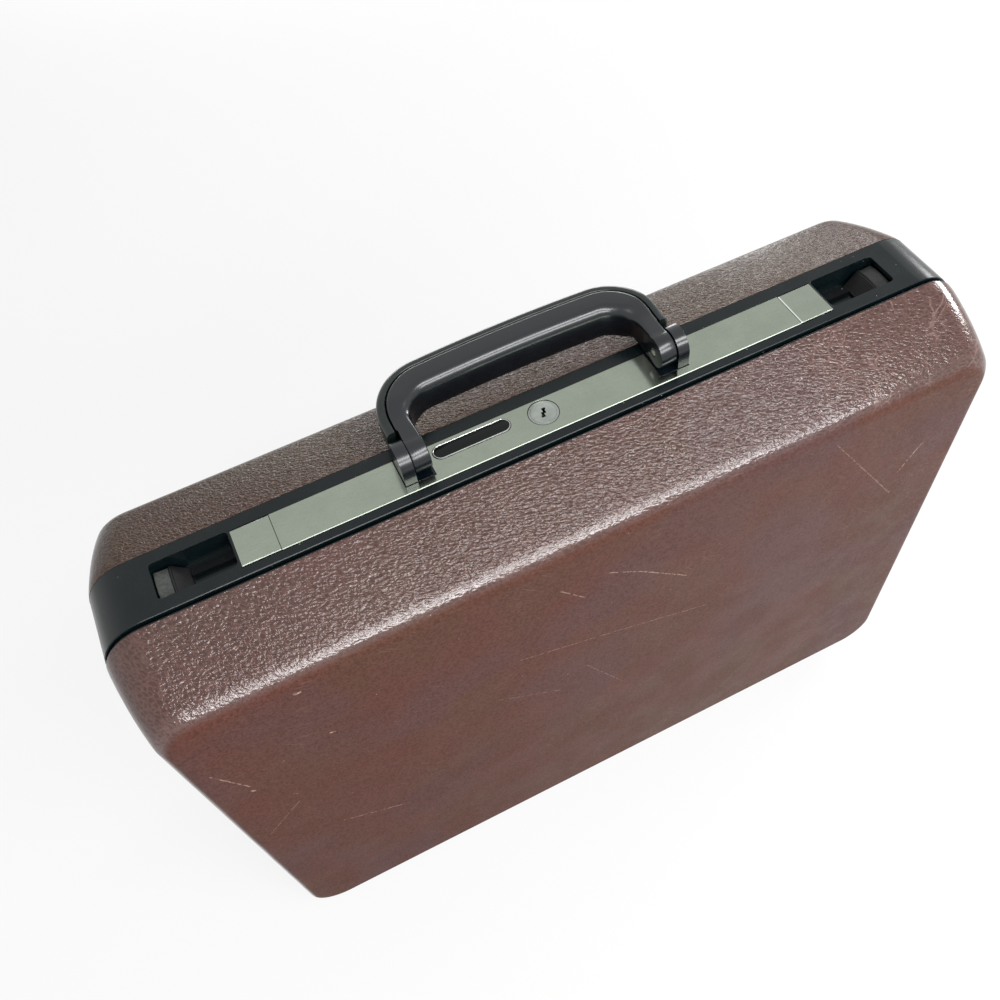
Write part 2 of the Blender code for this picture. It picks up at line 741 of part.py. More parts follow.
def build_centre_plate():
    """The long metal plate between the hasps, and the badge in it."""
    end = PLATE_HALF_LENGTH - HASP_LENGTH
    section = plate_section(PLATE_HALF_WIDTH, PLATE_HALF_WIDTH)
    plate = add_piece("centre_plate", prism("X", section, (-end, end)), "satin_plate")
    centre = (BADGE_PLACE, BADGE_BACK)
    below, above = PLATE_LOW - OVERRUN, PLATE_TOP + OVERRUN
    cuts = [
        cylinder("Z", (0, LOCK_BACK, PLATE_TOP), LOCK_FACE_RADIUS + SEAT_GAP, OVERRUN, 2 * ROUND_SEGMENTS),
        prism("Z", pill(BADGE_HALF_LENGTH + SEAT_GAP, BADGE_HALF_WIDTH + SEAT_GAP, centre), (below, above)),
    ]
    for side in SIDES.values():
        cuts.append(box(mirrored_span(side, BRACKET_INNER - SEAT_GAP, EAR_OUTER + SEAT_GAP),
                        (PIVOT_BACK - EAR_RADIUS - SEAT_GAP, PLATE_HALF_WIDTH + OVERRUN), (below, above)))
    cut(plate, *cuts)
    top = PLATE_TOP - PLATE_PROUD + BADGE_PROUD
    badge = prism("Z", pill(BADGE_HALF_LENGTH, BADGE_HALF_WIDTH, centre), (top - BADGE_THICKNESS, top))
    add_piece("badge", badge, "badge_black")
    return plate


def build_hasp(word, side):
    """One end of the metal plate, which pops up about a bead along its back edge."""
    span = mirrored_span(side, HASP_START, PLATE_HALF_LENGTH)
    section = plate_section(PLATE_HALF_WIDTH - PLATE_SIDE_GAP, PLATE_HALF_WIDTH - HASP_BACK_TRIM)
    hasp = add_piece(f"{word}_hasp", prism("X", section, span), "satin_plate")
    axis = Vector((side * (HASP_START + PLATE_HALF_LENGTH) / 2, HASP_AXIS_BACK, TOP_Z - HASP_AXIS_DROP))
    length = PLATE_HALF_LENGTH - HASP_START - 2 * HASP_BEAD_END
    join(hasp, cylinder("X", axis, HASP_BEAD_RADIUS, length, SMALL_SEGMENTS))
    move_with(joint_empty(f"{word}_hasp_axis", axis), hasp)
    return hasp


def build_button(word, side):
    """A thumb button with its ramp, its slide bar and bolt, and the return spring."""
    crest = BUTTON_OUTER - BUTTON_FLAT
    low, high = BUTTON_LOW, TOP_Z - BUTTON_TOP_DROP
    outline = [
        (BUTTON_FOOT, low),
        (BUTTON_OUTER, low),
        (BUTTON_OUTER, high),
        (crest, high),
        (BUTTON_FOOT, low + BUTTON_FOOT_HEIGHT),
    ]
    front = SEAT_GAP - RECESS_FRONT
    button = add_piece(f"{word}_button", prism("Y", [(side * x, z) for x, z in outline], (front, BUTTON_BACK)),
                       "worn_black")
    bar_top = low + BAR_HEIGHT
    bar = add_piece(f"{word}_slide_bar",
                    box(mirrored_span(side, BAR_END, BUTTON_FOOT - SEAT_GAP), (BAR_FRONT, BAR_BACK - SEAT_GAP),
                        (low, bar_top)), "bright_steel")
    join(bar, box(mirrored_span(side, BOLT_PLACE, BOLT_PLACE + BOLT_WIDTH),
                  (-BOLT_REACH, BAR_FRONT + BOLT_WIDTH / 2), (low + SEAT_GAP, bar_top - SEAT_GAP)))
    axis = Vector((side * BUTTON_OUTER, 0, high))
    move_with(joint_empty(f"{word}_button_axis", axis), button, bar)
    spring_middle = BAR_END - SEAT_GAP - SPRING_LENGTH / 2
    centre = Vector((side * spring_middle, (BAR_FRONT + BAR_BACK - SEAT_GAP) / 2, low + BAR_HEIGHT / 2))
    spring = add_piece(f"{word}_spring",
                       tube("X", centre, SPRING_RADIUS, SPRING_RADIUS - SPRING_WIRE, SPRING_LENGTH),
                       "bright_steel")
    return button, bar, spring


def rod_centre(side):
    """The two rods run on opposite sides of the cam."""
    return LOCK_BACK - side * (CAM_RADIUS + SEAT_GAP + ROD_WIDTH / 2)


def build_lock():
    """The key cylinder with its cam, its barrel and the two rods that it drives."""
    face = TOP_Z + LOCK_FACE_PROUD
    body_low = TOP_Z - LOCK_BODY_LENGTH - face
    cylinder_profile = [
        (0, 0),
        (LOCK_FACE_RADIUS, 0),
        (LOCK_FACE_RADIUS, -LOCK_FACE_THICKNESS),
        (LOCK_BODY_RADIUS, -LOCK_FACE_THICKNESS),
        (LOCK_BODY_RADIUS, body_low),
        (0, body_low),
    ]
    lock = turned("lock_cylinder", "zinc", cylinder_profile, (0, LOCK_BACK, face), 2 * ROUND_SEGMENTS)
    cut(lock, box((-KEYWAY_WIDTH / 2, KEYWAY_WIDTH / 2),
                  (LOCK_BACK - KEYWAY_LENGTH / 2, LOCK_BACK + KEYWAY_LENGTH / 2),
                  (face - KEYWAY_DEPTH, face + OVERRUN)))
    cam_centre = Vector((0, LOCK_BACK, ROD_TOP - CAM_THICKNESS / 2))
    cam = add_piece("lock_cam", cylinder("Z", cam_centre, CAM_RADIUS, CAM_THICKNESS), "bright_steel")
    barrel_top = face - LOCK_FACE_THICKNESS - SEAT_GAP
    barrel_low = TOP_Z - LOCK_BODY_LENGTH
    add_piece("lock_barrel",
              tube("Z", (0, LOCK_BACK, (barrel_top + barrel_low) / 2), BARREL_RADIUS,
                   BARREL_RADIUS - BARREL_WALL, barrel_top - barrel_low, ROUND_SEGMENTS), "zinc")
    move_with(joint_empty("lock_axis", (0, LOCK_BACK, face)), cam)
    for word, side in SIDES.items():
        y = rod_centre(side)
        rod = add_piece(f"{word}_lock_rod",
                        box(mirrored_span(side, -ROD_START, ROD_END), (y - ROD_WIDTH / 2, y + ROD_WIDTH / 2),
                            (ROD_TOP - CAM_THICKNESS, ROD_TOP)), "bright_steel")
        move_with(joint_empty(f"{word}_rod_axis", (0, y, ROD_TOP)), rod)
    return lock


def build_handle_bracket(word, side):
    """A foot under the plate with one ear outside the handle's leg, and the pin."""
    arch_low = TOP_Z - BRACKET_DEPTH / 2
    pivot = (PIVOT_BACK, PIVOT_Z)
    arch = arc(pivot, EAR_RADIUS, 0, ARC_STEPS) + arc(pivot, EAR_RADIUS, 1, ARC_STEPS)[1:]
    outline = arch + [(PIVOT_BACK - EAR_RADIUS, arch_low), (PIVOT_BACK + EAR_RADIUS, arch_low)]
    ear = prism("X", outline, mirrored_span(side, EAR_INNER, EAR_OUTER))
    bracket = add_piece(f"{word}_handle_bracket", ear, "gloss_black")
    foot_half = EAR_RADIUS - SEAT_GAP / 2
    join(bracket, box(mirrored_span(side, BRACKET_INNER, EAR_OUTER - SEAT_GAP / 2),
                      (PIVOT_BACK - foot_half, PIVOT_BACK + foot_half),
                      (TOP_Z - BRACKET_DEPTH, TOP_Z + BRACKET_PROUD)))
    middle = (BRACKET_INNER + EAR_OUTER) / 2
    length = EAR_OUTER - BRACKET_INNER
    cut(bracket, cylinder("X", (side * middle, PIVOT_BACK, PIVOT_Z), PIN_RADIUS + PIN_HOLE_GAP, 2 * length,
                          SMALL_SEGMENTS))
    pin = cylinder("X", (side * middle, PIVOT_BACK, PIVOT_Z), PIN_RADIUS, length - SEAT_GAP, SMALL_SEGMENTS)
    add_piece(f"{word}_handle_pin", pin, "bright_steel")
    return bracket


def ease(value, start, end):
    """A smooth step from 0 at the start to 1 at the end."""
    share = min(max((value - start) / (end - start), 0), 1)
    return share * share * (3 - 2 * share)


def handle_stations(start):
    """The handle's seam from the left leg round to the right one: place, outward direction, turn."""
    corner_y = HANDLE_REACH - HANDLE_CORNER
    inner_x = HANDLE_SEAM - HANDLE_CORNER
    leg = [(HANDLE_SEAM, reach) for reach in (0, NOTCH_REACH - SEAT_GAP) if reach >= start]
    leg += [(HANDLE_SEAM, NOTCH_REACH + (corner_y - NOTCH_REACH) * step / 3) for step in range(3)]
    half = [(Vector(point), Vector((1, 0))) for point in leg]
    for step in range(ARC_STEPS + 1):
        angle = step / ARC_STEPS * math.pi / 2
        outward = Vector((math.cos(angle), math.sin(angle)))
        half.append((Vector((inner_x, corner_y)) + outward * HANDLE_CORNER, outward))
    for step in range(1, STRIP_STEPS + 1):
        share = 1 - step / STRIP_STEPS
        x = inner_x * share
        slope = 2 * HANDLE_CROWN * share / inner_x
        outward = Vector((slope, 1)).normalized()
        half.append((Vector((x, HANDLE_REACH + HANDLE_CROWN * (1 - share * share))), outward))
    flip = Vector((-1, 1))
    return half + [(point * flip, outward * flip) for point, outward in reversed(half[:-1])]


def handle_section(point, outward, inner, outer, half_thickness, inner_radius, outer_radius):
    """A rounded section across the handle, on both sides of the seam."""
    steps = 3
    corners = (
        arc((outer - outer_radius, half_thickness - outer_radius), outer_radius, 0, steps)
        + arc((inner + inner_radius, half_thickness - inner_radius), inner_radius, 1, steps)
        + arc((inner + inner_radius, inner_radius - half_thickness), inner_radius, 2, steps)
        + arc((outer - outer_radius, outer_radius - half_thickness), outer_radius, 3, steps)
    )
    ring = []
    for across, up in corners:
        place_2d = point + outward * across
        ring.append(Vector((place_2d.x, PIVOT_BACK + place_2d.y, PIVOT_Z + up)))
    return ring


def half_thickness_at(reach):
    share = ease(reach, BELT_BACK - PIVOT_BACK, HANDLE_REACH - HANDLE_CORNER / 2)
    return LEG_HALF_THICKNESS + (GRIP_HALF_THICKNESS - LEG_HALF_THICKNESS) * share


def build_handle():
    """The grip and the strip along its outer side, lying back at rest."""
    rings = []
    ear_side = SEAT_GAP + LEG_END_NARROWING + HANDLE_SEAM - EAR_INNER
    inner_side = HANDLE_SEAM - BRACKET_INNER - LEG_END_NARROWING
    for point, outward in handle_stations(0):
        in_leg = ease(point.y, NOTCH_REACH / 2, NOTCH_REACH + HANDLE_CORNER / 2)
        width = LEG_WIDTH + (GRIP_WIDTH - LEG_WIDTH) * ease(point.y, NOTCH_REACH, HANDLE_REACH)
        below = point.y < NOTCH_REACH
        inner = inner_side + (width - inner_side) * in_leg
        edge = LEG_EDGE_RADIUS + (HANDLE_EDGE_RADIUS - LEG_EDGE_RADIUS) * in_leg
        half = half_thickness_at(point.y)
        rings.append(handle_section(point, outward, -inner, -ear_side if below else -SEAT_GAP / 2, half,
                                    edge, LEG_EDGE_RADIUS if below else HANDLE_SEAM_EDGE_RADIUS))
    grip = add_piece("handle_grip", loft(rings), "gloss_black")
    ends, holes = [], []
    length = LEG_END_OUTER - BRACKET_INNER
    middle = (LEG_END_OUTER + BRACKET_INNER) / 2
    for side in SIDES.values():
        centre = (side * middle, PIVOT_BACK, PIVOT_Z)
        ends.append(cylinder("X", centre, LEG_END_RADIUS, length, 2 * ROUND_SEGMENTS))
        holes.append(cylinder("X", centre, PIN_RADIUS + PIN_HOLE_GAP, 2 * length, SMALL_SEGMENTS))
    join(grip, *ends)
    cut(grip, *holes)
    rings = []
    for point, outward in handle_stations(NOTCH_REACH):
        half = half_thickness_at(point.y) - STRIP_HALF_WIDTH_TRIM
        rings.append(handle_section(point, outward, SEAT_GAP / 2, STRIP_THICKNESS + SEAT_GAP / 2, half,
                                    STRIP_SEAM_EDGE_RADIUS, STRIP_EDGE_RADIUS))
    strip = add_piece("handle_strip", loft(rings), "gloss_black")
    move_with(joint_empty("handle_axis", (0, PIVOT_BACK, PIVOT_Z)), grip, strip)
    return grip, strip


def build_hinge(word, side, lid_axis):
    """Two leaves that stand in the parting gap, their knuckles and the pin."""
    middle = side * HINGE_PLACE
    ends = (middle - HINGE_LENGTH / 2, middle + HINGE_LENGTH / 2)
    centre_half = HINGE_CENTRE_KNUCKLE / 2
    outer_knuckles = [(ends[0], middle - centre_half - RUN_GAP), (middle + centre_half + RUN_GAP, ends[1])]
    centre_knuckle = [(middle - centre_half, middle + centre_half)]
    base_face = -BELT_FRONT - SEAT_GAP
    lid_face = SEAT_GAP - LID_FRAME_REAR
    leaf_low = HINGE_Z + HINGE_BARREL_RADIUS + RUN_GAP
    leaf_high = LOW_Z + HINGE_LEAF_HEIGHT
    leaves = []
    for half, face, direction, knuckles in (("base", base_face, -1, outer_knuckles),
                                            ("lid", lid_face, 1, centre_knuckle)):
        span = sorted((face, face + direction * HINGE_LEAF))
        leaf = add_piece(f"{word}_{half}_hinge_leaf", box(ends, span, (leaf_low, leaf_high)), "bright_steel")
        parts = []
        for x0, x1 in knuckles:
            parts.append(cylinder("X", ((x0 + x1) / 2, HINGE_Y, HINGE_Z), HINGE_BARREL_RADIUS, x1 - x0,
                                  SMALL_SEGMENTS))
            parts.append(box((x0 + SEAT_GAP, x1 - SEAT_GAP), (span[0] + SEAT_GAP / 6, span[1] - SEAT_GAP / 6),
                             (HINGE_Z + HINGE_BARREL_RADIUS / 2, leaf_high - HINGE_LEAF)))
        join(leaf, *parts)
        cut(leaf, cylinder("X", (middle, HINGE_Y, HINGE_Z), HINGE_PIN_RADIUS + SEAT_GAP, 2 * HINGE_LENGTH,
                           SMALL_SEGMENTS))
        leaves.append(leaf)
    pin = cylinder("X", (middle, HINGE_Y, HINGE_Z), HINGE_PIN_RADIUS, HINGE_LENGTH, SMALL_SEGMENTS)
    add_piece(f"{word}_hinge_pin", pin, "bright_steel")
    move_with(lid_axis, leaves[1])


def build_foot(name, side, half, rim):
    """A foot under one shell, shaped to its slope."""
    reach = HALF_DEPTH - rim
    bm = bmesh.new()
    bmesh.ops.create_cone(bm, cap_ends=True, segments=ROUND_SEGMENTS, radius1=FOOT_RADIUS,
                          radius2=FOOT_RADIUS, depth=FOOT_HEIGHT)
    bmesh.ops.translate(bm, vec=(side * FOOT_PLACE, half * FOOT_SPREAD, FOOT_HEIGHT / 2), verts=bm.verts)
    for vert in bm.verts:
        if vert.co.z > FOOT_HEIGHT / 2:
            vert.co.z = LOW_Z + side_inset(abs(vert.co.y) - rim, reach) - SEAT_GAP
    lower = [edge for edge in bm.edges if all(vert.co.z < FOOT_HEIGHT / 2 for vert in edge.verts)]
    bmesh.ops.bevel(bm, geom=lower, offset=FOOT_CHAMFER, segments=1, affect="EDGES")
    return add_piece(name, finish_mesh(bm, name, smooth=True), "rubber")


def link_outline(start, end, half_width):
    """A bar with round ends between two points of the YZ plane."""
    run = Vector(end) - Vector(start)
    heading = math.atan2(run.y, run.x)
    points = []
    for centre, first in ((end, heading - math.pi / 2), (start, heading + math.pi / 2)):
        for step in range(ARC_STEPS + 1):
            angle = first + math.pi * step / ARC_STEPS
            points.append((centre[0] + half_width * math.cos(angle), centre[1] + half_width * math.sin(angle)))
    return points


def build_stay(word, side, lid_axis):
    """Two links that make a rhombus with the hinge axis, so that they turn as the lid turns."""
    base_pivot = (HINGE_Y + STAY_BASE_OFFSET, HINGE_Z + math.sqrt(STAY_LENGTH ** 2 - STAY_BASE_OFFSET ** 2))
    lid_pivot = (HINGE_Y - STAY_LID_OFFSET, HINGE_Z + math.sqrt(STAY_LENGTH ** 2 - STAY_LID_OFFSET ** 2))
    elbow = (base_pivot[0] + lid_pivot[0] - HINGE_Y, base_pivot[1] + lid_pivot[1] - HINGE_Z)
    outer = HALF_LENGTH - STAY_PLANE_INSET
    base_plane = (outer - STAY_LINK_THICKNESS, outer)
    lid_plane = (base_plane[0] - RUN_GAP - STAY_LINK_THICKNESS, base_plane[0] - RUN_GAP)
    hole = STAY_PIN_RADIUS + SEAT_GAP
    reach = 4 * STAY_LINK_THICKNESS

    def hole_at(place_2d, plane):
        return cylinder("X", (side * sum(plane) / 2, *place_2d), hole, reach, SMALL_SEGMENTS)

    def pin_at(place_2d, low, high, radius=STAY_PIN_RADIUS):
        return cylinder("X", (side * (low + high) / 2, *place_2d), radius, high - low, SMALL_SEGMENTS)

    base_link = add_piece(f"{word}_stay_base_link",
                          prism("X", link_outline(base_pivot, elbow, STAY_HALF_WIDTH),
                                mirrored_span(side, *base_plane)), "bright_steel")
    cut(base_link, hole_at(base_pivot, base_plane), hole_at(elbow, base_plane))
    lid_link = add_piece(f"{word}_stay_lid_link",
                         prism("X", link_outline(lid_pivot, elbow, STAY_HALF_WIDTH),
                               mirrored_span(side, *lid_plane)), "bright_steel")
    head = STAY_PIN_RADIUS * 3 / 2
    join(lid_link, pin_at(elbow, sum(lid_plane) / 2, base_plane[1] + SEAT_GAP + STAY_HEAD / 2),
         pin_at(elbow, base_plane[1] + SEAT_GAP, base_plane[1] + SEAT_GAP + STAY_HEAD, head))
    cut(lid_link, hole_at(lid_pivot, lid_plane))

    base_mount = build_stay_mount(f"{word}_stay_base_mount", side, base_pivot, HALF_LENGTH - BELT_WALL,
                                  base_plane, pin_at)
    slope = side_inset(STAY_MOUNT_HALF_WIDTH - lid_pivot[0] - LID_FRAME_REAR, HALF_DEPTH - LID_RIM)
    lid_mount = build_stay_mount(f"{word}_stay_lid_mount", side, lid_pivot,
                                 HALF_LENGTH - FRAME_INSET - LID_FRAME_WALL - slope, lid_plane, pin_at)
    base_axis = joint_empty(f"{word}_stay_base_axis", (side * outer, *base_pivot))
    lid_link_axis = joint_empty(f"{word}_stay_lid_axis", (side * outer, *lid_pivot), lid_axis)
    move_with(base_axis, base_link)
    move_with(lid_link_axis, lid_link)
    move_with(lid_axis, lid_mount)
    return base_mount


def build_stay_mount(name, side, pivot, wall, plane, pin_at):
    """A block on a frame's inner wall, with the stud that a link turns on."""
    outer = wall - SEAT_GAP
    block_outline = [(pivot[0] + y * STAY_MOUNT_HALF_WIDTH, pivot[1] + z * STAY_MOUNT_HALF_WIDTH)
                     for y, z in ((-1, -1), (1, -1), (1, 1), (-1, 1))]
    inner = HALF_LENGTH - STAY_PLANE_INSET + RUN_GAP
    mount = add_piece(name, prism("X", block_outline, mirrored_span(side, inner, outer)), "bright_steel")
    stud_low = plane[0] - SEAT_GAP - STAY_HEAD
    head = STAY_PIN_RADIUS * 3 / 2
    return join(mount, pin_at(pivot, stud_low + STAY_HEAD / 2, (inner + outer) / 2),
                pin_at(pivot, stud_low, stud_low + STAY_HEAD, head))


def build_keeper(word, side, lid_axis):
    """A hook-shaped keeper under the lid frame's top, which reaches through its window."""
    span = mirrored_span(side, KEEPER_PLACE, KEEPER_PLACE + KEEPER_WIDTH)
    high = TOP_Z - FRAME_INSET - LID_FRAME_WALL - SEAT_GAP
    front = -BELT_FRONT - TONGUE_REACH - WINDOW_MARGIN
    foot_end = front - KEEPER_FOOT_DEPTH
    slope = top_inset(-LID_FRAME_REAR - foot_end, HALF_DEPTH - LID_RIM)
    arm_top = TOP_Z - KEEPER_ARM_DROP
    outline = [
        (foot_end, high - slope),
        (foot_end, arm_top - KEEPER_ARM_HEIGHT),
        (-KEEPER_ARM_END, arm_top - KEEPER_ARM_HEIGHT),
        (-KEEPER_ARM_END, arm_top),
        (front, arm_top),
        (front, high - top_inset(-LID_FRAME_REAR - front, HALF_DEPTH - LID_RIM)),
    ]
    keeper = add_piece(f"{word}_keeper", prism("X", outline, span), "zinc")
    move_with(lid_axis, keeper)


def build_file_pocket(lid_axis):
    """A flat pocket on the lid's lining, open at its top: a gusset round three edges and a panel."""
    back = SEAT_GAP - LINING_FACE
    front = back + FILE_POCKET_THICKNESS
    seam = front - FILE_POCKET_WALL - SEAT_GAP
    half, low, high, wall = FILE_POCKET_HALF_LENGTH, FILE_POCKET_LOW, FILE_POCKET_HIGH, FILE_POCKET_WALL
    outline = [
        (-half, low),
        (half, low),
        (half, high),
        (half - wall, high),
        (half - wall, low + wall),
        (wall - half, low + wall),
        (wall - half, high),
        (-half, high),
    ]
    gusset = add_piece("file_pocket_gusset", prism("Y", outline, (back, seam)), "pocket_cloth")
    panel = add_piece("file_pocket_panel", box((-half, half), (front - wall, front), (low, high)), "pocket_cloth")
    move_with(lid_axis, gusset, panel)


def build_case():
    """All pieces, base half first."""
    lid_axis = joint_empty("lid_axis", (0, HINGE_Y, HINGE_Z))
    build_shell("back_shell", 1, BASE_RIM)
    build_lining("base_lining", 1, BASE_RIM, FLANGE_REACH)
    add_piece("base_frame", swept_frame(belt_section(), "bottom"), "black_rail")
    build_lock_housing()
    build_housing_cover()
    build_screws()
    build_centre_plate()
    build_lock()
    front_shell = build_shell("front_shell", -1, LID_RIM)
    lid_lining = build_lining("lid_lining", -1, LID_RIM, LID_FRAME_REAR + LID_FRAME_REACH + SEAT_GAP - LID_RIM)
    lid_frame = add_piece("lid_frame", swept_frame(lid_section(), "all"), "black_rail")
    move_with(lid_axis, front_shell, lid_lining, lid_frame)
    build_file_pocket(lid_axis)
    for word, side in SIDES.items():
        build_hasp(word, side)
        build_button(word, side)
        build_handle_bracket(word, side)
        build_hinge(word, side, lid_axis)
        build_keeper(word, side, lid_axis)
        build_stay(word, side, lid_axis)
        build_foot(f"{word}_base_foot", side, 1, BASE_RIM)
        move_with(lid_axis, build_foot(f"{word}_lid_foot", side, -1, LID_RIM))
    build_handle()


clear_scene()
PIECES = make_collection("hardshell_briefcase")
GUIDES = make_collection("guides")
build_case()
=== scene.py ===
"""The looks of a hardshell briefcase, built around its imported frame.

Metres, in the frame's own axes: +X along the lock rail, +Y from the lid half to the base half, +Z up.
Every piece is built where the frame says its node is, and rides on that node's body.
"""

from __future__ import annotations

import json
import logging
import math
from dataclasses import dataclass, field
from enum import Enum

import bmesh
import bpy
from mathutils import Euler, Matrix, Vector

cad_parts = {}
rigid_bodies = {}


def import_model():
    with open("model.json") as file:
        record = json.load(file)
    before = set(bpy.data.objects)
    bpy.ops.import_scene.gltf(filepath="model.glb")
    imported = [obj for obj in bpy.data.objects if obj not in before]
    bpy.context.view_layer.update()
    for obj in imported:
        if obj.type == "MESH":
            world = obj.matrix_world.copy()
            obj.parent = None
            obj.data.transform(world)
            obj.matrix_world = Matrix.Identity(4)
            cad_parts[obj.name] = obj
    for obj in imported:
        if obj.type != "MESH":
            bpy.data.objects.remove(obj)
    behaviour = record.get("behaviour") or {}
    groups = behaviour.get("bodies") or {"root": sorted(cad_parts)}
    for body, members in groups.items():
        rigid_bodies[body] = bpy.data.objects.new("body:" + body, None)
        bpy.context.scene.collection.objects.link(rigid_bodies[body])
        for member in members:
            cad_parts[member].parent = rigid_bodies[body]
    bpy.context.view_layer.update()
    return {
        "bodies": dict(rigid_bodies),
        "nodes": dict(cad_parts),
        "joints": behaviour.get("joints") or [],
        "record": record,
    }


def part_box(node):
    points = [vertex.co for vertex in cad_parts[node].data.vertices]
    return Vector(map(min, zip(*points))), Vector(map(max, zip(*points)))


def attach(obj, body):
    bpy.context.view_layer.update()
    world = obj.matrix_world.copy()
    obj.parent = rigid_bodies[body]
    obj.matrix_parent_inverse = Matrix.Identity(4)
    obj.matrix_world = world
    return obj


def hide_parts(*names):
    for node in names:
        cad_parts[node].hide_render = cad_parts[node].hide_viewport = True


LOG = logging.getLogger("briefcase")
MM = 0.001
MERGE = 0.01 * MM
SEAT_GAP = 0.3 * MM
SIDES = {"left": -1, "right": 1}

Colour = tuple[float, float, float]
Place = tuple[float, float, float]
Point = tuple[float, float]
Ring = list[Vector]
Node = bpy.types.Node
Socket = bpy.types.NodeSocket
Material = bpy.types.Material
Mesh = bpy.types.Mesh
Piece = bpy.types.Object


class Half(Enum):
    """The two halves of the case, by the side of the middle plane that they lie on."""

    LID = -1
    BASE = 1


# Node graphs


class Graph:
    """A node tree with short calls that add its nodes and join their sockets."""

    def __init__(self, tree: bpy.types.NodeTree) -> None:
        """Keep the tree that the calls add to."""
        self.tree = tree

    def add(self, kind: str, links: dict | None = None, **settings: object) -> Node:
        """Add a node.

        Args:
            kind: Blender's name for the node.
            links: what each input holds, by name or number: a value or another node's socket.
            settings: the node's own properties.

        Returns:
            The node.
        """
        node = self.tree.nodes.new(kind)
        for name, value in settings.items():
            setattr(node, name, value)
        for key, value in (links or {}).items():
            self.put(node.inputs[key], value)
        return node

    def put(self, socket: Socket, value: object) -> None:
        """Join another node's socket to an input, or set its value.

        Args:
            socket: the input.
            value: another node's socket, or a plain value.
        """
        if isinstance(value, Socket):
            self.tree.links.new(value, socket)
        else:
            socket.default_value = value

    def math(self, operation: str, *values: object, clamp: bool = False) -> Socket:
        """One operation on numbers."""
        node = self.add("ShaderNodeMath", dict(enumerate(values)), operation=operation, use_clamp=clamp)
        return node.outputs[0]

    def times(self, *values: object) -> Socket:
        """The product of several numbers.

        Args:
            values: numbers or sockets.

        Returns:
            The product.
        """
        product, *others = values
        for value in others:
            product = self.math("MULTIPLY", product, value)
        return product

    def vector(self, operation: str, *values: object) -> Socket:
        """One operation on vectors, whose result is a number for a length or a dot product.

        Args:
            operation: Blender's name for it.
            values: vectors, and a number for SCALE.

        Returns:
            The result.
        """
        node = self.add("ShaderNodeVectorMath", operation=operation)
        for number, value in enumerate(values):
            self.put(node.inputs["Scale" if operation == "SCALE" and number else number], value)
        return node.outputs["Value" if operation in ("LENGTH", "DOT_PRODUCT") else "Vector"]

    def ramp(self, value: object, low: float, high: float, start: float = 0, end: float = 1) -> Socket:
        """A smooth step: start below the low value, end above the high one."""
        links = {"Value": value, "From Min": low, "From Max": high, "To Min": start, "To Max": end}
        return self.add("ShaderNodeMapRange", links, interpolation_type="SMOOTHSTEP").outputs[0]

    def mix(self, share: object, first: object, second: object) -> Socket:
        """A colour between two others.

        Args:
            share: how much of the second one there is.
            first: a colour or a socket.
            second: a colour or a socket.

        Returns:
            The mixed colour.
        """
        node = self.add("ShaderNodeMix", data_type="RGBA")
        self.put(node.inputs[0], share)
        for number, colour in ((6, first), (7, second)):
            self.put(node.inputs[number], (*colour, 1) if isinstance(colour, tuple) else colour)
        return node.outputs[2]


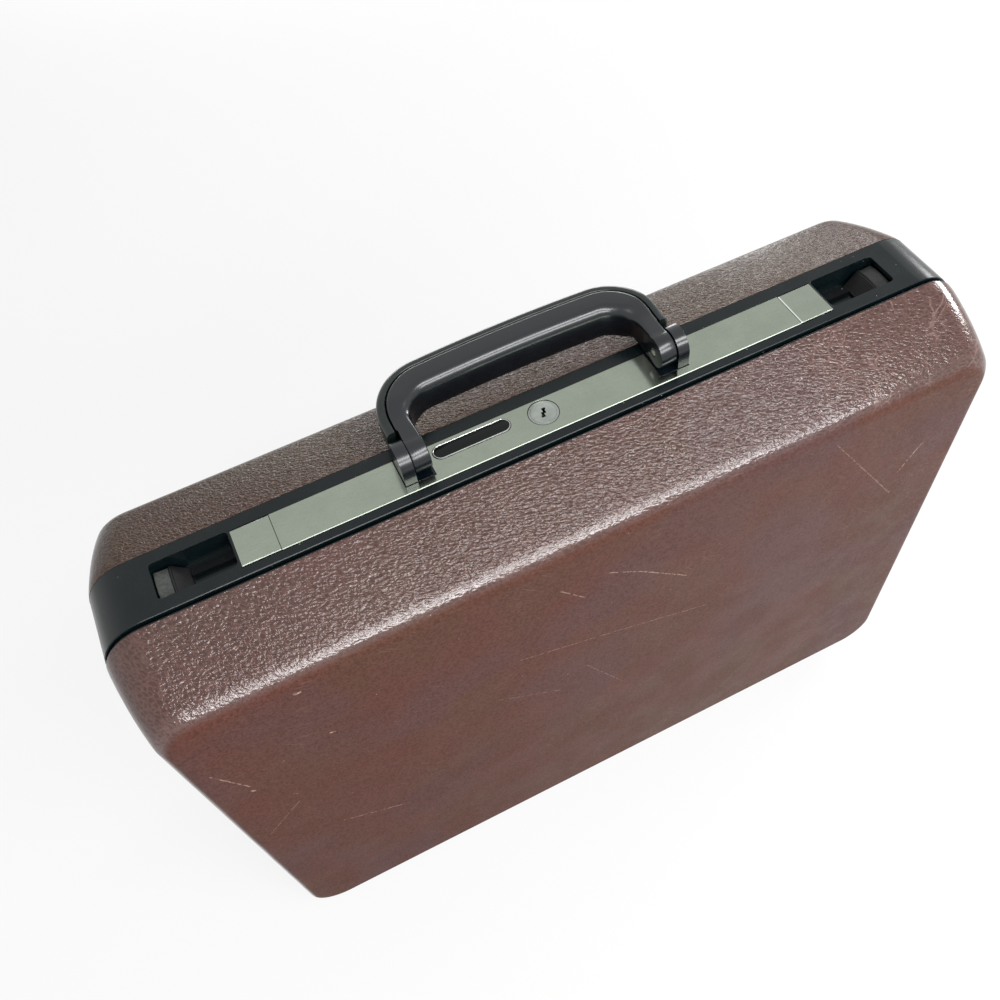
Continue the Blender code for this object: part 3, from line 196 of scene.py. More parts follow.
class Skin(Graph):
    """A material whose patterns are read at the piece's own place, in metres."""

    def __init__(self, name: str, colour: Colour, roughness: float, metallic: float = 0.0) -> None:
        """Start the material with its plain values.

        Args:
            name: the material's name.
            colour: its plain colour.
            roughness: its plain roughness.
            metallic: one for bare metal.
        """
        self.material = bpy.data.materials.new(name)
        self.material.use_nodes = True
        self.material.diffuse_color = (*colour, 1)
        super().__init__(self.material.node_tree)
        self.shader = self.tree.nodes["Principled BSDF"]
        self.put(self.shader.inputs["Base Color"], (*colour, 1))
        self.put(self.shader.inputs["Roughness"], roughness)
        self.put(self.shader.inputs["Metallic"], metallic)
        self.place = self.add("ShaderNodeTexCoord").outputs["Object"]

    def paint(self, **values: object) -> None:
        """Set the shader's inputs, by their names in lower case.

        Args:
            values: a value or a socket for each input.
        """
        for name, value in values.items():
            title = {"ior_level": "Specular IOR Level"}.get(name, name.replace("_", " ").title())
            self.put(self.shader.inputs[title], (*value, 1) if isinstance(value, tuple) else value)

    def mapped(self, scale: Place, turn: Place = (0, 0, 0), source: object = None) -> Socket:
        """The piece's own coordinates, turned by degrees and stretched.

        Args:
            scale: how far the pattern is drawn out along each axis.
            turn: the degrees about each axis.
            source: the coordinates to start from, or none for the piece's own.

        Returns:
            The new coordinates.
        """
        turned = tuple(math.radians(angle) for angle in turn)
        node = self.add("ShaderNodeMapping", {"Vector": source or self.place}, vector_type="TEXTURE")
        self.put(node.inputs["Rotation"], turned)
        self.put(node.inputs["Scale"], tuple(1 / value for value in scale))
        return node.outputs[0]

    def noise(self, size: float, detail: float, roughness: float = 0.5, place: object = None) -> Node:
        """Cloudy noise whose features have a size in metres."""
        links = {"Vector": place or self.place, "Scale": 1 / size, "Detail": detail, "Roughness": roughness}
        return self.add("ShaderNodeTexNoise", links)

    def cloud(self, size: float, detail: float = 2, roughness: float = 0.5, place: object = None) -> Socket:
        """The noise as a number about a half."""
        return self.noise(size, detail, roughness, place).outputs[0]

    def cells(self, size: float, feature: str = "DISTANCE_TO_EDGE", place: object = None) -> Node:
        """Cells whose width is a size in metres."""
        links = {"Vector": place or self.place, "Scale": 1 / size}
        return self.add("ShaderNodeTexVoronoi", links, feature=feature)

    def warped(self, size: float, reach: float, place: object = None) -> Socket:
        """Coordinates that wander by a reach over a size, both in metres.

        Args:
            size: the size of a wave.
            reach: how far it goes.
            place: the coordinates to start from, or none for the piece's own.

        Returns:
            The new coordinates.
        """
        source = place or self.place
        cloud = self.noise(size, 1, place=source).outputs[1]
        shift = self.vector("SCALE", self.vector("SUBTRACT", cloud, (0.5, 0.5, 0.5)), reach)
        return self.vector("ADD", source, shift)

    def scattered(self, size: float, place: Socket, share: float, outer: float, inner: float) -> Socket:
        """Spots about the centres of a share of the cells, between two radii.

        Args:
            size: the width of a cell.
            place: the coordinates.
            share: the share of the cells that have a spot.
            outer: the radius where a spot begins.
            inner: the radius where it is full.

        Returns:
            One in a spot, zero outside.
        """
        found = self.cells(size, "F1", place).outputs
        parts = self.add("ShaderNodeSeparateColor", {0: found[1]}).outputs
        return self.times(self.math("LESS_THAN", parts[0], share), self.ramp(found[0], outer, inner))

    def specks(self, spacing: float, radius: float, share: float) -> Socket:
        """Small spots of dust or chipped paint, in a share of the cells."""
        outer = radius / spacing
        return self.scattered(spacing, self.warped(spacing / 3, spacing / 4), share, outer, outer / 2)

    def scuffs(self, length: float, width: float, turn: Place, share: float) -> Socket:
        """Short fine scratches in one direction, in a share of the cells."""
        stretch = self.mapped((1, length / width, length / width), turn, self.warped(length, length / 6))
        return self.scattered(length * 3, stretch, share, 0.3, 0.1)

    def split(self, vector: object = None) -> list[Socket]:
        """The three parts of a vector, or of the piece's own coordinates."""
        return list(self.add("ShaderNodeSeparateXYZ", {0: vector or self.place}).outputs)

    def bump(self, height: object, depth: float, below: object = None) -> Socket:
        """A relief of a depth in metres, laid over another one.

        Args:
            height: the relief.
            depth: its depth.
            below: the normal that it lies on, or none.

        Returns:
            The new normal.
        """
        node = self.add("ShaderNodeBump", {"Height": height, "Distance": depth, "Strength": 1})
        if below is not None:
            self.put(node.inputs["Normal"], below)
        return node.outputs[0]


@dataclass(frozen=True)
class Finish:
    """A plain moulded or metal surface with fine grain, wear and dust."""

    name: str
    colour: Colour
    roughness: float
    metallic: float = 0.0
    ior_level: float = 0.5
    contrast: float = 0.12
    grain: float = 0.4 * MM
    grain_depth: float = 0.01 * MM
    wear: float = 0.06
    dust: float = 0.0
    dust_colour: Colour = (0.30, 0.32, 0.30)

    def make(self) -> Material:
        """Build the material.

        Returns:
            The material.
        """
        skin = Skin(self.name, self.colour, self.roughness, self.metallic)
        patches = skin.ramp(skin.cloud(16 * MM, 5, 0.6), 0.3, 0.7)
        colour = skin.mix(patches, self.shade(1 - self.contrast), self.shade(1 + self.contrast))
        marks = skin.math("MAXIMUM", skin.scuffs(6 * MM, 0.1 * MM, (10, 20, 35), 0.35),
                          skin.scuffs(4 * MM, 0.08 * MM, (-30, 15, -50), 0.35))
        spots = skin.specks(3.6 * MM, 0.30 * MM, self.dust)
        light = skin.math("ADD", skin.times(marks, self.wear), spots, clamp=True)
        rough = skin.math("MULTIPLY_ADD", patches, 0.2 * self.roughness, 0.9 * self.roughness)
        rough = skin.math("ADD", rough, skin.times(light, 0.3), clamp=True)
        skin.paint(
            base_color=self.coating(skin, skin.mix(light, colour, self.dust_colour)),
            roughness=rough,
            normal=self.relief(skin),
            ior_level=self.ior_level,
        )
        return skin.material

    def shade(self, factor: float) -> Colour:
        """The finish's colour, lighter or darker."""
        return tuple(min(1.0, factor * part) for part in self.colour)

    def coating(self, skin: Skin, colour: object) -> object:
        """The colour under what lies on it."""
        return colour

    def relief(self, skin: Skin) -> Socket:
        """A fine even grain."""
        return skin.bump(skin.cloud(self.grain, 3, 0.6), self.grain_depth)


@dataclass(frozen=True)
class BrushedMetal(Finish):
    """Metal brushed along X, with painted shade past a rim that dims its edge's highlight, painted shade below
    a height, and a painted highlight along a seam.
    """

    line: float = 0.18 * MM
    line_depth: float = 0.006 * MM
    # Painted shade past the rim and below a height; a painted highlight along the seam.
    rim: float = 1000 * MM
    shaded_below: float = -1000 * MM
    seam: float = 1000 * MM
    seam_highlight_half: float = 0.35 * MM
    seam_highlight_colour: Colour = (0.80, 0.84, 0.78)

    def coating(self, skin: Skin, colour: object) -> object:
        """Faint brush lines, a fine tarnish, a painted highlight along the seam, and painted shade past the
        rim and below a height.

        Args:
            skin: the material in work.
            colour: the colour so far.

        Returns:
            The new colour.
        """
        lines = skin.cloud(self.line, 2, place=skin.mapped((0.02, 1, 1)))
        tarnish = skin.ramp(skin.cloud(1.1 * MM, 4, 0.75), 0.5, 0.72, 0.0, 0.35)
        colour = skin.mix(skin.ramp(lines, 0.3, 0.7, 0.0, 0.22), colour, self.shade(0.72))
        colour = skin.mix(tarnish, colour, self.shade(0.62))
        along, across, up = skin.split()
        # Painted highlight: a pale band along the seam beside the hasp.
        off = skin.math("ABSOLUTE", skin.math("SUBTRACT", along, self.seam))
        lit_grey = skin.ramp(off, self.seam_highlight_half, 1.3 * self.seam_highlight_half, 0.9, 0.0)
        colour = skin.mix(lit_grey, colour, self.seam_highlight_colour)
        # Painted shade: near-black past the rim, dimming the highlight on the edge.
        outer = skin.ramp(skin.math("ABSOLUTE", across), self.rim - 0.1 * MM, self.rim, 0.0, 0.65)
        # Painted shade: near-black below a height, under the plate's face.
        sunk_shade = skin.ramp(up, self.shaded_below, self.shaded_below - 0.2 * MM, 0.0, 0.97)
        return skin.mix(skin.math("MAXIMUM", outer, sunk_shade), colour, (0.01, 0.01, 0.01))

    def relief(self, skin: Skin) -> Socket:
        """Brush lines over a faint waviness."""
        wave = skin.bump(skin.cloud(9 * MM, 2), 0.02 * MM)
        return skin.bump(skin.cloud(self.line, 2, place=skin.mapped((0.02, 1, 1))), self.line_depth, wave)


@dataclass(frozen=True)
class RubbedLitPlastic(Finish):
    """Black plastic with a grey top above a height and out from a place, partly worn and partly painted light,
    with less grey on the right as painted shade.
    """

    # The grey top: partly wear, partly painted light; the right keeps only a share of it as painted shade.
    lit_grey: Colour = (0.066, 0.072, 0.066)
    height: float = 0.0
    blend: float = 0.5 * MM
    inner: float = 0.0
    shaded_right_share: float = 0.30

    def coating(self, skin: Skin, colour: object) -> object:
        """Mottled grey on the worn top, partly wear and partly painted light; the right keeps less of it as
        painted shade.

        Args:
            skin: the material in work.
            colour: the colour so far.

        Returns:
            The new colour.
        """
        along, _, up = skin.split()
        top = skin.ramp(up, self.height - self.blend, self.height)
        flat = skin.ramp(skin.math("ABSOLUTE", along), self.inner - self.blend, self.inner)
        # Painted shade: the right side keeps only a share of the grey.
        side = skin.ramp(along, -MM, MM, 1.0, self.shaded_right_share)
        mottle = skin.ramp(skin.cloud(1.4 * MM, 5, 0.75), 0.36, 0.62, 0.45, 1.0)
        return skin.mix(skin.times(top, flat, side, mottle), colour, self.lit_grey)


@dataclass(frozen=True)
class Cloth(Finish):
    """Woven cloth, with its threads along the axes."""

    thread: float = 0.7 * MM
    thread_depth: float = 0.12 * MM
    gap: Colour = (0.03, 0.02, 0.015)

    def weave(self, skin: Skin) -> Socket:
        """The threads' height: waves along the surface's two directions, wandering a little.

        Args:
            skin: the material in work.

        Returns:
            The height.
        """
        wander = skin.warped(8 * MM, 0.5 * MM)
        normal = skin.vector("ABSOLUTE", skin.add("ShaderNodeTexCoord").outputs["Normal"])
        crossed = 0.0
        for direction, across in zip("XYZ", skin.split(normal)):
            links = {"Vector": wander, "Scale": 0.5 / self.thread}
            row = skin.add("ShaderNodeTexWave", links, bands_direction=direction).outputs[1]
            crossed = skin.math("MULTIPLY_ADD", row, skin.math("SUBTRACT", 1, across), crossed)
        return skin.times(crossed, 0.5)

    def coating(self, skin: Skin, colour: object) -> object:
        """Darker between the threads."""
        return skin.mix(skin.ramp(self.weave(skin), 0.15, 0.6, 0.7, 0.0), colour, self.gap)

    def relief(self, skin: Skin) -> Socket:
        """Threads with a little fluff."""
        fluff = skin.bump(skin.cloud(0.3 * MM, 3, 0.7), 0.04 * MM)
        return skin.bump(self.weave(skin), self.thread_depth, fluff)


@dataclass(frozen=True)
class Scratch:
    """One scratch on the lid's face, between two places of X and Z in millimetres."""

    start: Point
    end: Point
    width: float = 0.35
    strength: float = 0.5


@dataclass(frozen=True)
class GrainedPlastic:
    """Moulded plastic with a leather grain: fine raised wrinkles on the strips, a worn smooth face."""

    name: str
    red: Colour = (0.106, 0.044, 0.034)
    olive: Colour = (0.100, 0.048, 0.034)
    plum: Colour = (0.098, 0.048, 0.044)
    # Painted highlight on the raised wrinkles.
    bright: Colour = (0.25, 0.155, 0.14)
    # Painted shade over the strips and in the creases.
    crease_shade: Colour = (0.035, 0.012, 0.010)
    mark: Colour = (0.42, 0.30, 0.24)
    roughness: float = 0.15
    face_roughness: float = 0.42
    strip_level: float = 0.50
    ridge_level: float = 0.80
    strip_shade: float = 0.34
    face_level: float = 0.08
    wrinkle: float = 1.7 * MM
    wrinkle_depth: float = 0.32 * MM
    swell: float = 1.3 * MM
    swell_depth: float = 0.28 * MM
    pebble: float = 0.7 * MM
    pebble_depth: float = 0.008 * MM
    mark_depth: float = 0.03 * MM
    stretch: Place = (0.45, 1, 1)
    sheen_reach: float = 150 * MM
    calm_start: float = 54 * MM
    calm_end: float = 61.5 * MM
    face_start: float = 60.8 * MM
    face_end: float = 63.2 * MM
    upright_start: float = 90 * MM
    upright_end: float = 170 * MM
    side_start: float = 198 * MM
    side_end: float = 222 * MM
    fade_start: float = 208 * MM
    fade_end: float = 224 * MM
    upright_share: float = 1.0
    slant_start: float = -170 * MM
    slant_end: float = -70 * MM
    turn_centre: float = -20
    turn_left: float = -62
    turn_right: float = 62
    scratches: tuple[Scratch, ...] = ()

    def make(self) -> Material:
        """Build the material.

        Returns:
            The material.
        """
        skin = Skin(self.name, self.red, self.roughness)
        along, depth, _ = skin.split()
        depth = skin.math("ABSOLUTE", depth)
        face = skin.ramp(depth, self.face_start, self.face_end)
        fine, tall = self.wrinkles(skin, along)
        lines = skin.math("MAXIMUM", fine, tall)
        marks = self.marks(skin, face)
        strip = skin.math("SUBTRACT", 1, skin.times(face, 0.88))
        sheen = skin.ramp(along, -self.sheen_reach, self.sheen_reach, self.face_level / 4, self.face_level)
        edge = skin.ramp(depth, self.calm_start, self.face_start, self.strip_level, self.ridge_level)
        skin.paint(
            base_color=self.colour(skin, lines, tall, strip, marks),
            roughness=self.gloss(skin, lines, face, marks),
            normal=self.relief(skin, along, depth, fine, tall, marks),
            ior_level=skin.add("ShaderNodeMix", {0: face, 2: edge, 3: sheen}).outputs[0],
        )
        return skin.material

    def relief(self, skin: Skin, along: Socket, depth: Socket, fine: Socket, tall: Socket,
               marks: Socket) -> Socket:
        """Wrinkles, a swell and a fine pebble, calmer towards the ridge and the ends.

        Args:
            skin: the material in work.
            along: the place along X.
            depth: the distance from the case's middle plane.
            fine: the height of the fine wrinkles.
            tall: the height of the upright wrinkles.
            marks: how scratched each spot is.

        Returns:
            The normal.
        """
        calm = skin.times(
            skin.ramp(depth, self.calm_start, self.calm_end, 1.0, 0.10),
            skin.ramp(along, self.upright_start, self.upright_end, 1.0, 0.32),
            skin.ramp(skin.math("ABSOLUTE", along), self.side_start, self.side_end, 1.0, 0.12),
        )
        worms = self.turned(skin, self.turn_centre, skin.warped(4 * MM, 1.6 * MM))
        swell = skin.ramp(skin.cloud(self.swell, 1, 0.4, worms), 0.3, 0.7)
        below = None
        for height, reach in (
            (skin.times(skin.math("MAXIMUM", fine, skin.times(tall, 0.5)), calm), self.wrinkle_depth),
            (skin.times(swell, calm), self.swell_depth),
            (skin.cloud(self.pebble, 3, 0.65), self.pebble_depth),
            (marks, self.mark_depth),
        ):
            below = skin.bump(height, reach, below)
        return below

    def turned(self, skin: Skin, turn: float, place: Socket) -> Socket:
        """Coordinates drawn out along a direction, which is turned by degrees."""
        return skin.mapped(self.stretch, (0, 0, turn), place)

    def wrinkles(self, skin: Skin, along: Socket) -> tuple[Socket, Socket]:
        """Fine wavy raised lines, and the longer upright ones towards the right end.

        Args:
            skin: the material in work.
            along: the place along X.

        Returns:
            The height of the fine lines, and that of the upright ones.
        """
        wander = skin.warped(60 * MM, 7 * MM)
        fold = skin.warped(5 * MM, 1.9 * MM, wander)
        level, slanted = (
            skin.ramp(skin.cells(self.wrinkle, place=self.turned(skin, turn, fold)).outputs[0], 0.24, 0.0)
            for turn in (self.turn_centre, self.turn_left)
        )
        left = skin.ramp(along, self.slant_end, self.slant_start)
        fine = skin.add("ShaderNodeMix", {0: left, 2: level, 3: slanted}).outputs[0]
        small = skin.ramp(skin.cells(self.wrinkle * 0.5, place=fold).outputs[0], 0.3, 0.02)
        lines = skin.math("ADD", skin.times(fine, 0.55), skin.times(small, 0.1))
        upright = skin.mapped((0.5, 1, 1), (0, 0, self.turn_right), fold)
        tall = skin.times(
            skin.ramp(skin.cells(3.4 * self.wrinkle, place=upright).outputs[0], 0.075, 0.0),
            skin.ramp(along, self.upright_start, self.upright_end, 0.0, self.upright_share),
            skin.ramp(skin.cloud(14 * MM, 1, place=upright), 0.42, 0.56),
            skin.ramp(along, self.fade_start, self.fade_end, 1.0, 0.25),
        )
        return lines, tall

    def colour(self, skin: Skin, lines: Socket, tall: Socket, strip: Socket, marks: Socket) -> Socket:
        """Patches of three browns, with painted shade over the strips and in the creases, a painted highlight
        on the wrinkles, and paler where the surface is scratched.

        Args:
            skin: the material in work.
            lines: the height of all wrinkles.
            tall: the height of the upright wrinkles.
            strip: one on the strips, little on the flat face.
            marks: how scratched each spot is.

        Returns:
            The colour.
        """
        base = skin.mix(skin.ramp(skin.cloud(55 * MM, 3), 0.4, 0.6), self.red, self.olive)
        large = skin.cloud(80 * MM, 2, place=skin.mapped((1, 1, 1), (40, 0, 25)))
        grit = skin.ramp(skin.cloud(1.5 * MM, 4, 0.85), 0.44, 0.60, 0.0, 0.62)
        for share, other in (
            (skin.ramp(large, 0.48, 0.62), self.plum),
            # Painted shade over the whole strip.
            (skin.times(strip, self.strip_shade), self.crease_shade),
            # Painted shade in the creases between the raised wrinkles.
            (skin.times(skin.ramp(lines, 0.25, 0.0, 0.0, 0.75), strip), self.crease_shade),
            # Painted highlight on the raised wrinkles, the fine and the upright ones.
            (skin.times(lines, strip, 0.22), self.bright),
            (skin.times(tall, strip, 0.55), self.bright),
            (grit, tuple(0.45 * part for part in self.red)),
            (marks, self.mark),
        ):
            base = skin.mix(share, base, other)
        return base

    def gloss(self, skin: Skin, lines: Socket, face: Socket, marks: Socket) -> Socket:
        """Patchy, glossier on the wrinkles' tops, duller on the face and the scratches.

        Args:
            skin: the material in work.
            lines: the height of all wrinkles.
            face: one on the flat face, zero on the strips.
            marks: how scratched each spot is.

        Returns:
            The roughness.
        """
        patchy = skin.ramp(skin.cloud(25 * MM, 3), 0.3, 0.7, -0.04, 0.06)
        patchy = skin.math("ADD", patchy, skin.ramp(face, 0, 1, self.roughness, self.face_roughness))
        top = skin.math("SUBTRACT", patchy, skin.times(lines, 0.05))
        return skin.math("ADD", top, skin.times(marks, 0.2), clamp=True)

    def marks(self, skin: Skin, face: Socket) -> Socket:
        """Specks and scuffs all over, and the face's own long scratches.

        Args:
            skin: the material in work.
            face: one on the flat face, zero on the strips.

        Returns:
            How scratched each spot is.
        """
        scuffed = skin.ramp(skin.cloud(60 * MM, 2), 0.42, 0.62)
        light = skin.times(skin.specks(9 * MM, 0.45 * MM, 0.2), 0.6)
        for length, turn, share in ((12, (90, 12, 0), 0.10), (17, (90, 48, 0), 0.08)):
            scuff = skin.scuffs(length * MM, 0.16 * MM, turn, share)
            light = skin.math("MAXIMUM", light, skin.times(scuff, scuffed, 0.3))
        flat = skin.vector("MULTIPLY", skin.warped(3 * MM, 0.7 * MM), (1, 0, 1))
        broken = skin.ramp(skin.cloud(1.4 * MM, 2), 0.38, 0.58)
        for scratch in self.scratches:
            start = Vector((scratch.start[0], 0, scratch.start[1])) * MM
            run = Vector((scratch.end[0], 0, scratch.end[1])) * MM - start
            away = skin.vector("SUBTRACT", flat, tuple(start))
            share = skin.vector("DOT_PRODUCT", away, tuple(run / run.length_squared))
            reached = skin.vector("SCALE", tuple(run), skin.math("ADD", share, 0, clamp=True))
            off = skin.vector("LENGTH", skin.vector("SUBTRACT", away, reached))
            line = skin.ramp(off, scratch.width * MM, scratch.width * MM / 3, 0, scratch.strength)
            light = skin.math("MAXIMUM", light, skin.times(line, face, broken))
        return light


# Mesh helpers


def finished_mesh(bm: bmesh.types.BMesh, name: str, sharp: float = 35.0) -> Mesh:
    """Write a mesh whose faces point outwards, smooth but for its sharp edges.

    Args:
        bm: the mesh in work, which is freed.
        name: the new mesh's name.
        sharp: the angle in degrees from which an edge is sharp.

    Returns:
        The mesh.
    """
    bmesh.ops.recalc_face_normals(bm, faces=bm.faces)
    mesh = bpy.data.meshes.new(name)
    bm.to_mesh(mesh)
    bm.free()
    mesh.shade_smooth()
    mesh.set_sharp_from_angle(angle=math.radians(sharp))
    return mesh


def skinned(name: str, rings: list[Ring], sharp: float = 35.0) -> Mesh:
    """A skin over rings of equal count, with a face at each end.

    Args:
        name: the mesh's name.
        rings: the rings, from one end to the other.
        sharp: the angle in degrees from which an edge is sharp.

    Returns:
        The mesh.
    """
    bm = bmesh.new()
    rows = [[bm.verts.new(point) for point in ring] for ring in rings]
    for row, after in zip(rows, rows[1:]):
        for i in range(len(row)):
            j = (i + 1) % len(row)
            bm.faces.new((row[i], row[j], after[j], after[i]))
    bm.faces.new(rows[0])
    bm.faces.new(rows[-1])
    return finished_mesh(bm, name, sharp)


def quarter(centre: Point, radius: float, first: float, steps: int) -> list[Point]:
    """A quarter circle in a plane, from a number of quarter turns on.

    Args:
        centre: the centre.
        radius: the radius.
        first: the number of quarter turns at which it starts.
        steps: the steps in each quarter turn.

    Returns:
        The points.
    """
    points = []
    for step in range(steps + 1):
        angle = (first + step / steps) * math.pi / 2
        points.append((centre[0] + radius * math.cos(angle), centre[1] + radius * math.sin(angle)))
    return points


def circle(steps: int) -> list[Point]:
    """The cosine and sine of even steps around."""
    return [(math.cos(math.tau * step / steps), math.sin(math.tau * step / steps)) for step in range(steps)]


def rounded(low: Point, high: Point, radius: float, steps: int) -> list[Point]:
    """An outline with four round corners, between two corners of a plane.

    Args:
        low: the lower left corner.
        high: the upper right corner.
        radius: the radius of the round corners.
        steps: the steps in each quarter turn.

    Returns:
        The points, once round.
    """
    x0, y0, x1, y1 = low[0] + radius, low[1] + radius, high[0] - radius, high[1] - radius
    corners = ((x1, y0, 3), (x1, y1, 0), (x0, y1, 1), (x0, y0, 2))
    return [point for x, y, first in corners for point in quarter((x, y), radius, first, steps)]


def linked(name: str, data: bpy.types.ID) -> Piece:
    """A new object in the scene.

    Args:
        name: its name.
        data: its mesh, lamp or camera.

    Returns:
        The object.
    """
    piece = bpy.data.objects.new(name, data)
    bpy.context.scene.collection.objects.link(piece)
    return piece


def plain_mesh(piece: Piece) -> Piece:
    """Turn a piece and its modifiers into a plain mesh.

    Args:
        piece: the piece.

    Returns:
        The same piece.
    """
    graph = bpy.context.evaluated_depsgraph_get()
    mesh = bpy.data.meshes.new_from_object(piece.evaluated_get(graph), depsgraph=graph)
    piece.modifiers.clear()
    piece.data = mesh
    return piece


def prism(name: str, outline: list[Vector], run: Vector) -> Mesh:
    """A flat outline pushed along a run."""
    return skinned(name, [outline, [point + run for point in outline]])


def block(low: Place, high: Place) -> Mesh:
    """A box between two corners, as a tool for a cut."""
    flat = [(low[0], low[1]), (high[0], low[1]), (high[0], high[1]), (low[0], high[1])]
    return prism("block", [Vector((x, y, low[2])) for x, y in flat], Vector((0, 0, high[2] - low[2])))


def revolved(name: str, centre: Vector, profile: list[Point], segments: int) -> Mesh:
    """A turned piece about an upright axis.

    Args:
        name: the mesh's name.
        centre: the place of the profile's origin.
        profile: radius and height of each ring, from one end to the other.
        segments: the steps around.

    Returns:
        The mesh.
    """
    around = circle(segments)
    return skinned(name, [[centre + Vector((radius * x, radius * y, height)) for x, y in around]
                          for radius, height in profile])


class Pattern(Graph):
    """A Geometry Nodes tree that repeats something, with named inputs."""

    def __init__(self, name: str, inputs: dict[str, str]) -> None:
        """Start the tree with its inputs, each a name and a kind of socket.

        Args:
            name: the tree's name.
            inputs: the kind of socket of each named input.
        """
        super().__init__(bpy.data.node_groups.new(name, "GeometryNodeTree"))
        face = self.tree.interface
        face.new_socket("Geometry", in_out="INPUT", socket_type="NodeSocketGeometry")
        self.keys = {}
        for title, kind in inputs.items():
            socket = face.new_socket(title, in_out="INPUT", socket_type=f"NodeSocket{kind}")
            self.keys[title] = socket.identifier
        face.new_socket("Geometry", in_out="OUTPUT", socket_type="NodeSocketGeometry")
        self.source = self.add("NodeGroupInput").outputs

    def close(self, geometry: Socket) -> None:
        """Realize the copies and give them their finish.

        Args:
            geometry: the copies.
        """
        real = self.add("GeometryNodeRealizeInstances", {0: geometry})
        links = {"Geometry": real.outputs[0], "Material": self.source["Finish"]}
        painted = self.add("GeometryNodeSetMaterial", links)
        self.add("NodeGroupOutput", {0: painted.outputs[0]})

    def run(self, piece: Piece, **values: object) -> Piece:
        """Run the tree on a piece and keep the result as a plain mesh.

        Args:
            piece: the piece.
            values: a value for each named input.

        Returns:
            The same piece.
        """
        modifier = piece.modifiers.new(self.tree.name, "NODES")
        modifier.node_group = self.tree
        for title, value in values.items():
            modifier[self.keys[title.replace("_", " ").title()]] = value
        return plain_mesh(piece)


class Row(Pattern):
    """Copies of the piece along a straight line, each a little off its place."""

    SEED = 7

    def __init__(self) -> None:
        """Build the tree."""
        kinds = {"Step": "Vector", "Count": "Int", "Stray": "Float", "Finish": "Material"}
        super().__init__("row", kinds)
        links = {"Count": self.source["Count"], "Offset": self.source["Step"]}
        line = self.add("GeometryNodeMeshLine", links, mode="OFFSET")
        stray = self.add("FunctionNodeRandomValue", {0: (-1, -1, -1), 1: (1, 1, 1), "Seed": self.SEED},
                         data_type="FLOAT_VECTOR")
        shift = self.vector("SCALE", stray.outputs[0], self.source["Stray"])
        placed = self.add("GeometryNodeSetPosition", {"Geometry": line.outputs[0], "Offset": shift})
        copies = self.add("GeometryNodeInstanceOnPoints",
                          {"Points": placed.outputs[0], "Instance": self.source["Geometry"]})
        self.close(copies.outputs[0])


class Coil(Pattern):
    """A wire wound about X, around a centre."""

    SIDES = 10
    STEPS = 28

    def __init__(self) -> None:
        """Build the tree."""
        kinds = {"Centre": "Vector", "Length": "Float", "Turns": "Float", "Radius": "Float", "Wire": "Float",
                 "Finish": "Material"}
        super().__init__("coil", kinds)
        radius = self.source["Radius"]
        spiral = self.add("GeometryNodeCurveSpiral", {
            "Resolution": self.STEPS, "Rotations": self.source["Turns"], "Start Radius": radius,
            "End Radius": radius, "Height": self.source["Length"]})
        ring = self.add("GeometryNodeCurvePrimitiveCircle",
                        {"Resolution": self.SIDES, "Radius": self.source["Wire"]})
        wire = self.add("GeometryNodeCurveToMesh",
                        {"Curve": spiral.outputs[0], "Profile Curve": ring.outputs[0], "Fill Caps": True})
        laid = self.add("GeometryNodeTransform",
                        {"Geometry": wire.outputs[0], "Rotation": (0, math.pi / 2, 0)})
        half = self.add("ShaderNodeCombineXYZ", {0: self.times(self.source["Length"], -0.5)})
        start = self.vector("ADD", self.source["Centre"], half.outputs[0])
        moved = self.add("GeometryNodeTransform", {"Geometry": laid.outputs[0], "Translation": start})
        self.close(moved.outputs[0])


class Workshop:
    """Where pieces are made: the frame's nodes and bodies, and the calls that put a piece in the scene."""

    def __init__(self, frame: dict) -> None:
        """Keep the frame, and find each node's body.

        Args:
            frame: what the frame's kit has loaded.
        """
        self.nodes = frame["nodes"]
        self.bodies = {}
        for body, members in frame["record"]["behaviour"]["bodies"].items():
            for node in members:
                self.bodies[node] = body

    def box(self, node: str) -> tuple[Vector, Vector]:
        """A node's lowest and highest corner."""
        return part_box(node)

    def add(self, name: str, mesh: Mesh, material: Material, node: str, replaced: bool = True) -> Piece:
        """Put a piece in the scene.

        Args:
            name: the piece's name.
            mesh: its mesh, in the frame's own place.
            material: its finish.
            node: the frame's node whose body it rides on.
            replaced: whether it stands for that node.

        Returns:
            The piece.
        """
        piece = linked(name, mesh)
        mesh.materials.clear()
        mesh.materials.append(material)
        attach(piece, self.bodies[node])
        if replaced:
            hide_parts(node)
        LOG.info("%s: %d faces on %s", name, len(mesh.polygons), self.bodies[node])
        return piece

    def softened(self, node: str, material: Material, width: float, segments: int = 2,
                 sharp: float = 30.0) -> Piece:
        """A copy of a node with its corners rounded, which stands for it.

        Args:
            node: the frame's node.
            material: the copy's finish.
            width: how wide each rounded corner is.
            segments: the steps across it.
            sharp: the angle in degrees from which a corner is rounded.

        Returns:
            The piece.
        """
        bm = bmesh.new()
        bm.from_mesh(self.nodes[node].data)
        bmesh.ops.remove_doubles(bm, verts=bm.verts, dist=MERGE)
        bmesh.ops.dissolve_limit(bm, angle_limit=math.radians(0.5), verts=bm.verts, edges=bm.edges)
        mesh = finished_mesh(bm, f"{node}_soft", sharp)
        piece = self.add(f"{node}_dressed", mesh, material, node)
        bevel = piece.modifiers.new("corners", "BEVEL")
        bevel.width = width
        bevel.segments = segments
        bevel.limit_method = "ANGLE"
        bevel.angle_limit = math.radians(sharp)
        bevel.harden_normals = True
        bevel.use_clamp_overlap = True
        return plain_mesh(piece)


# The two shells


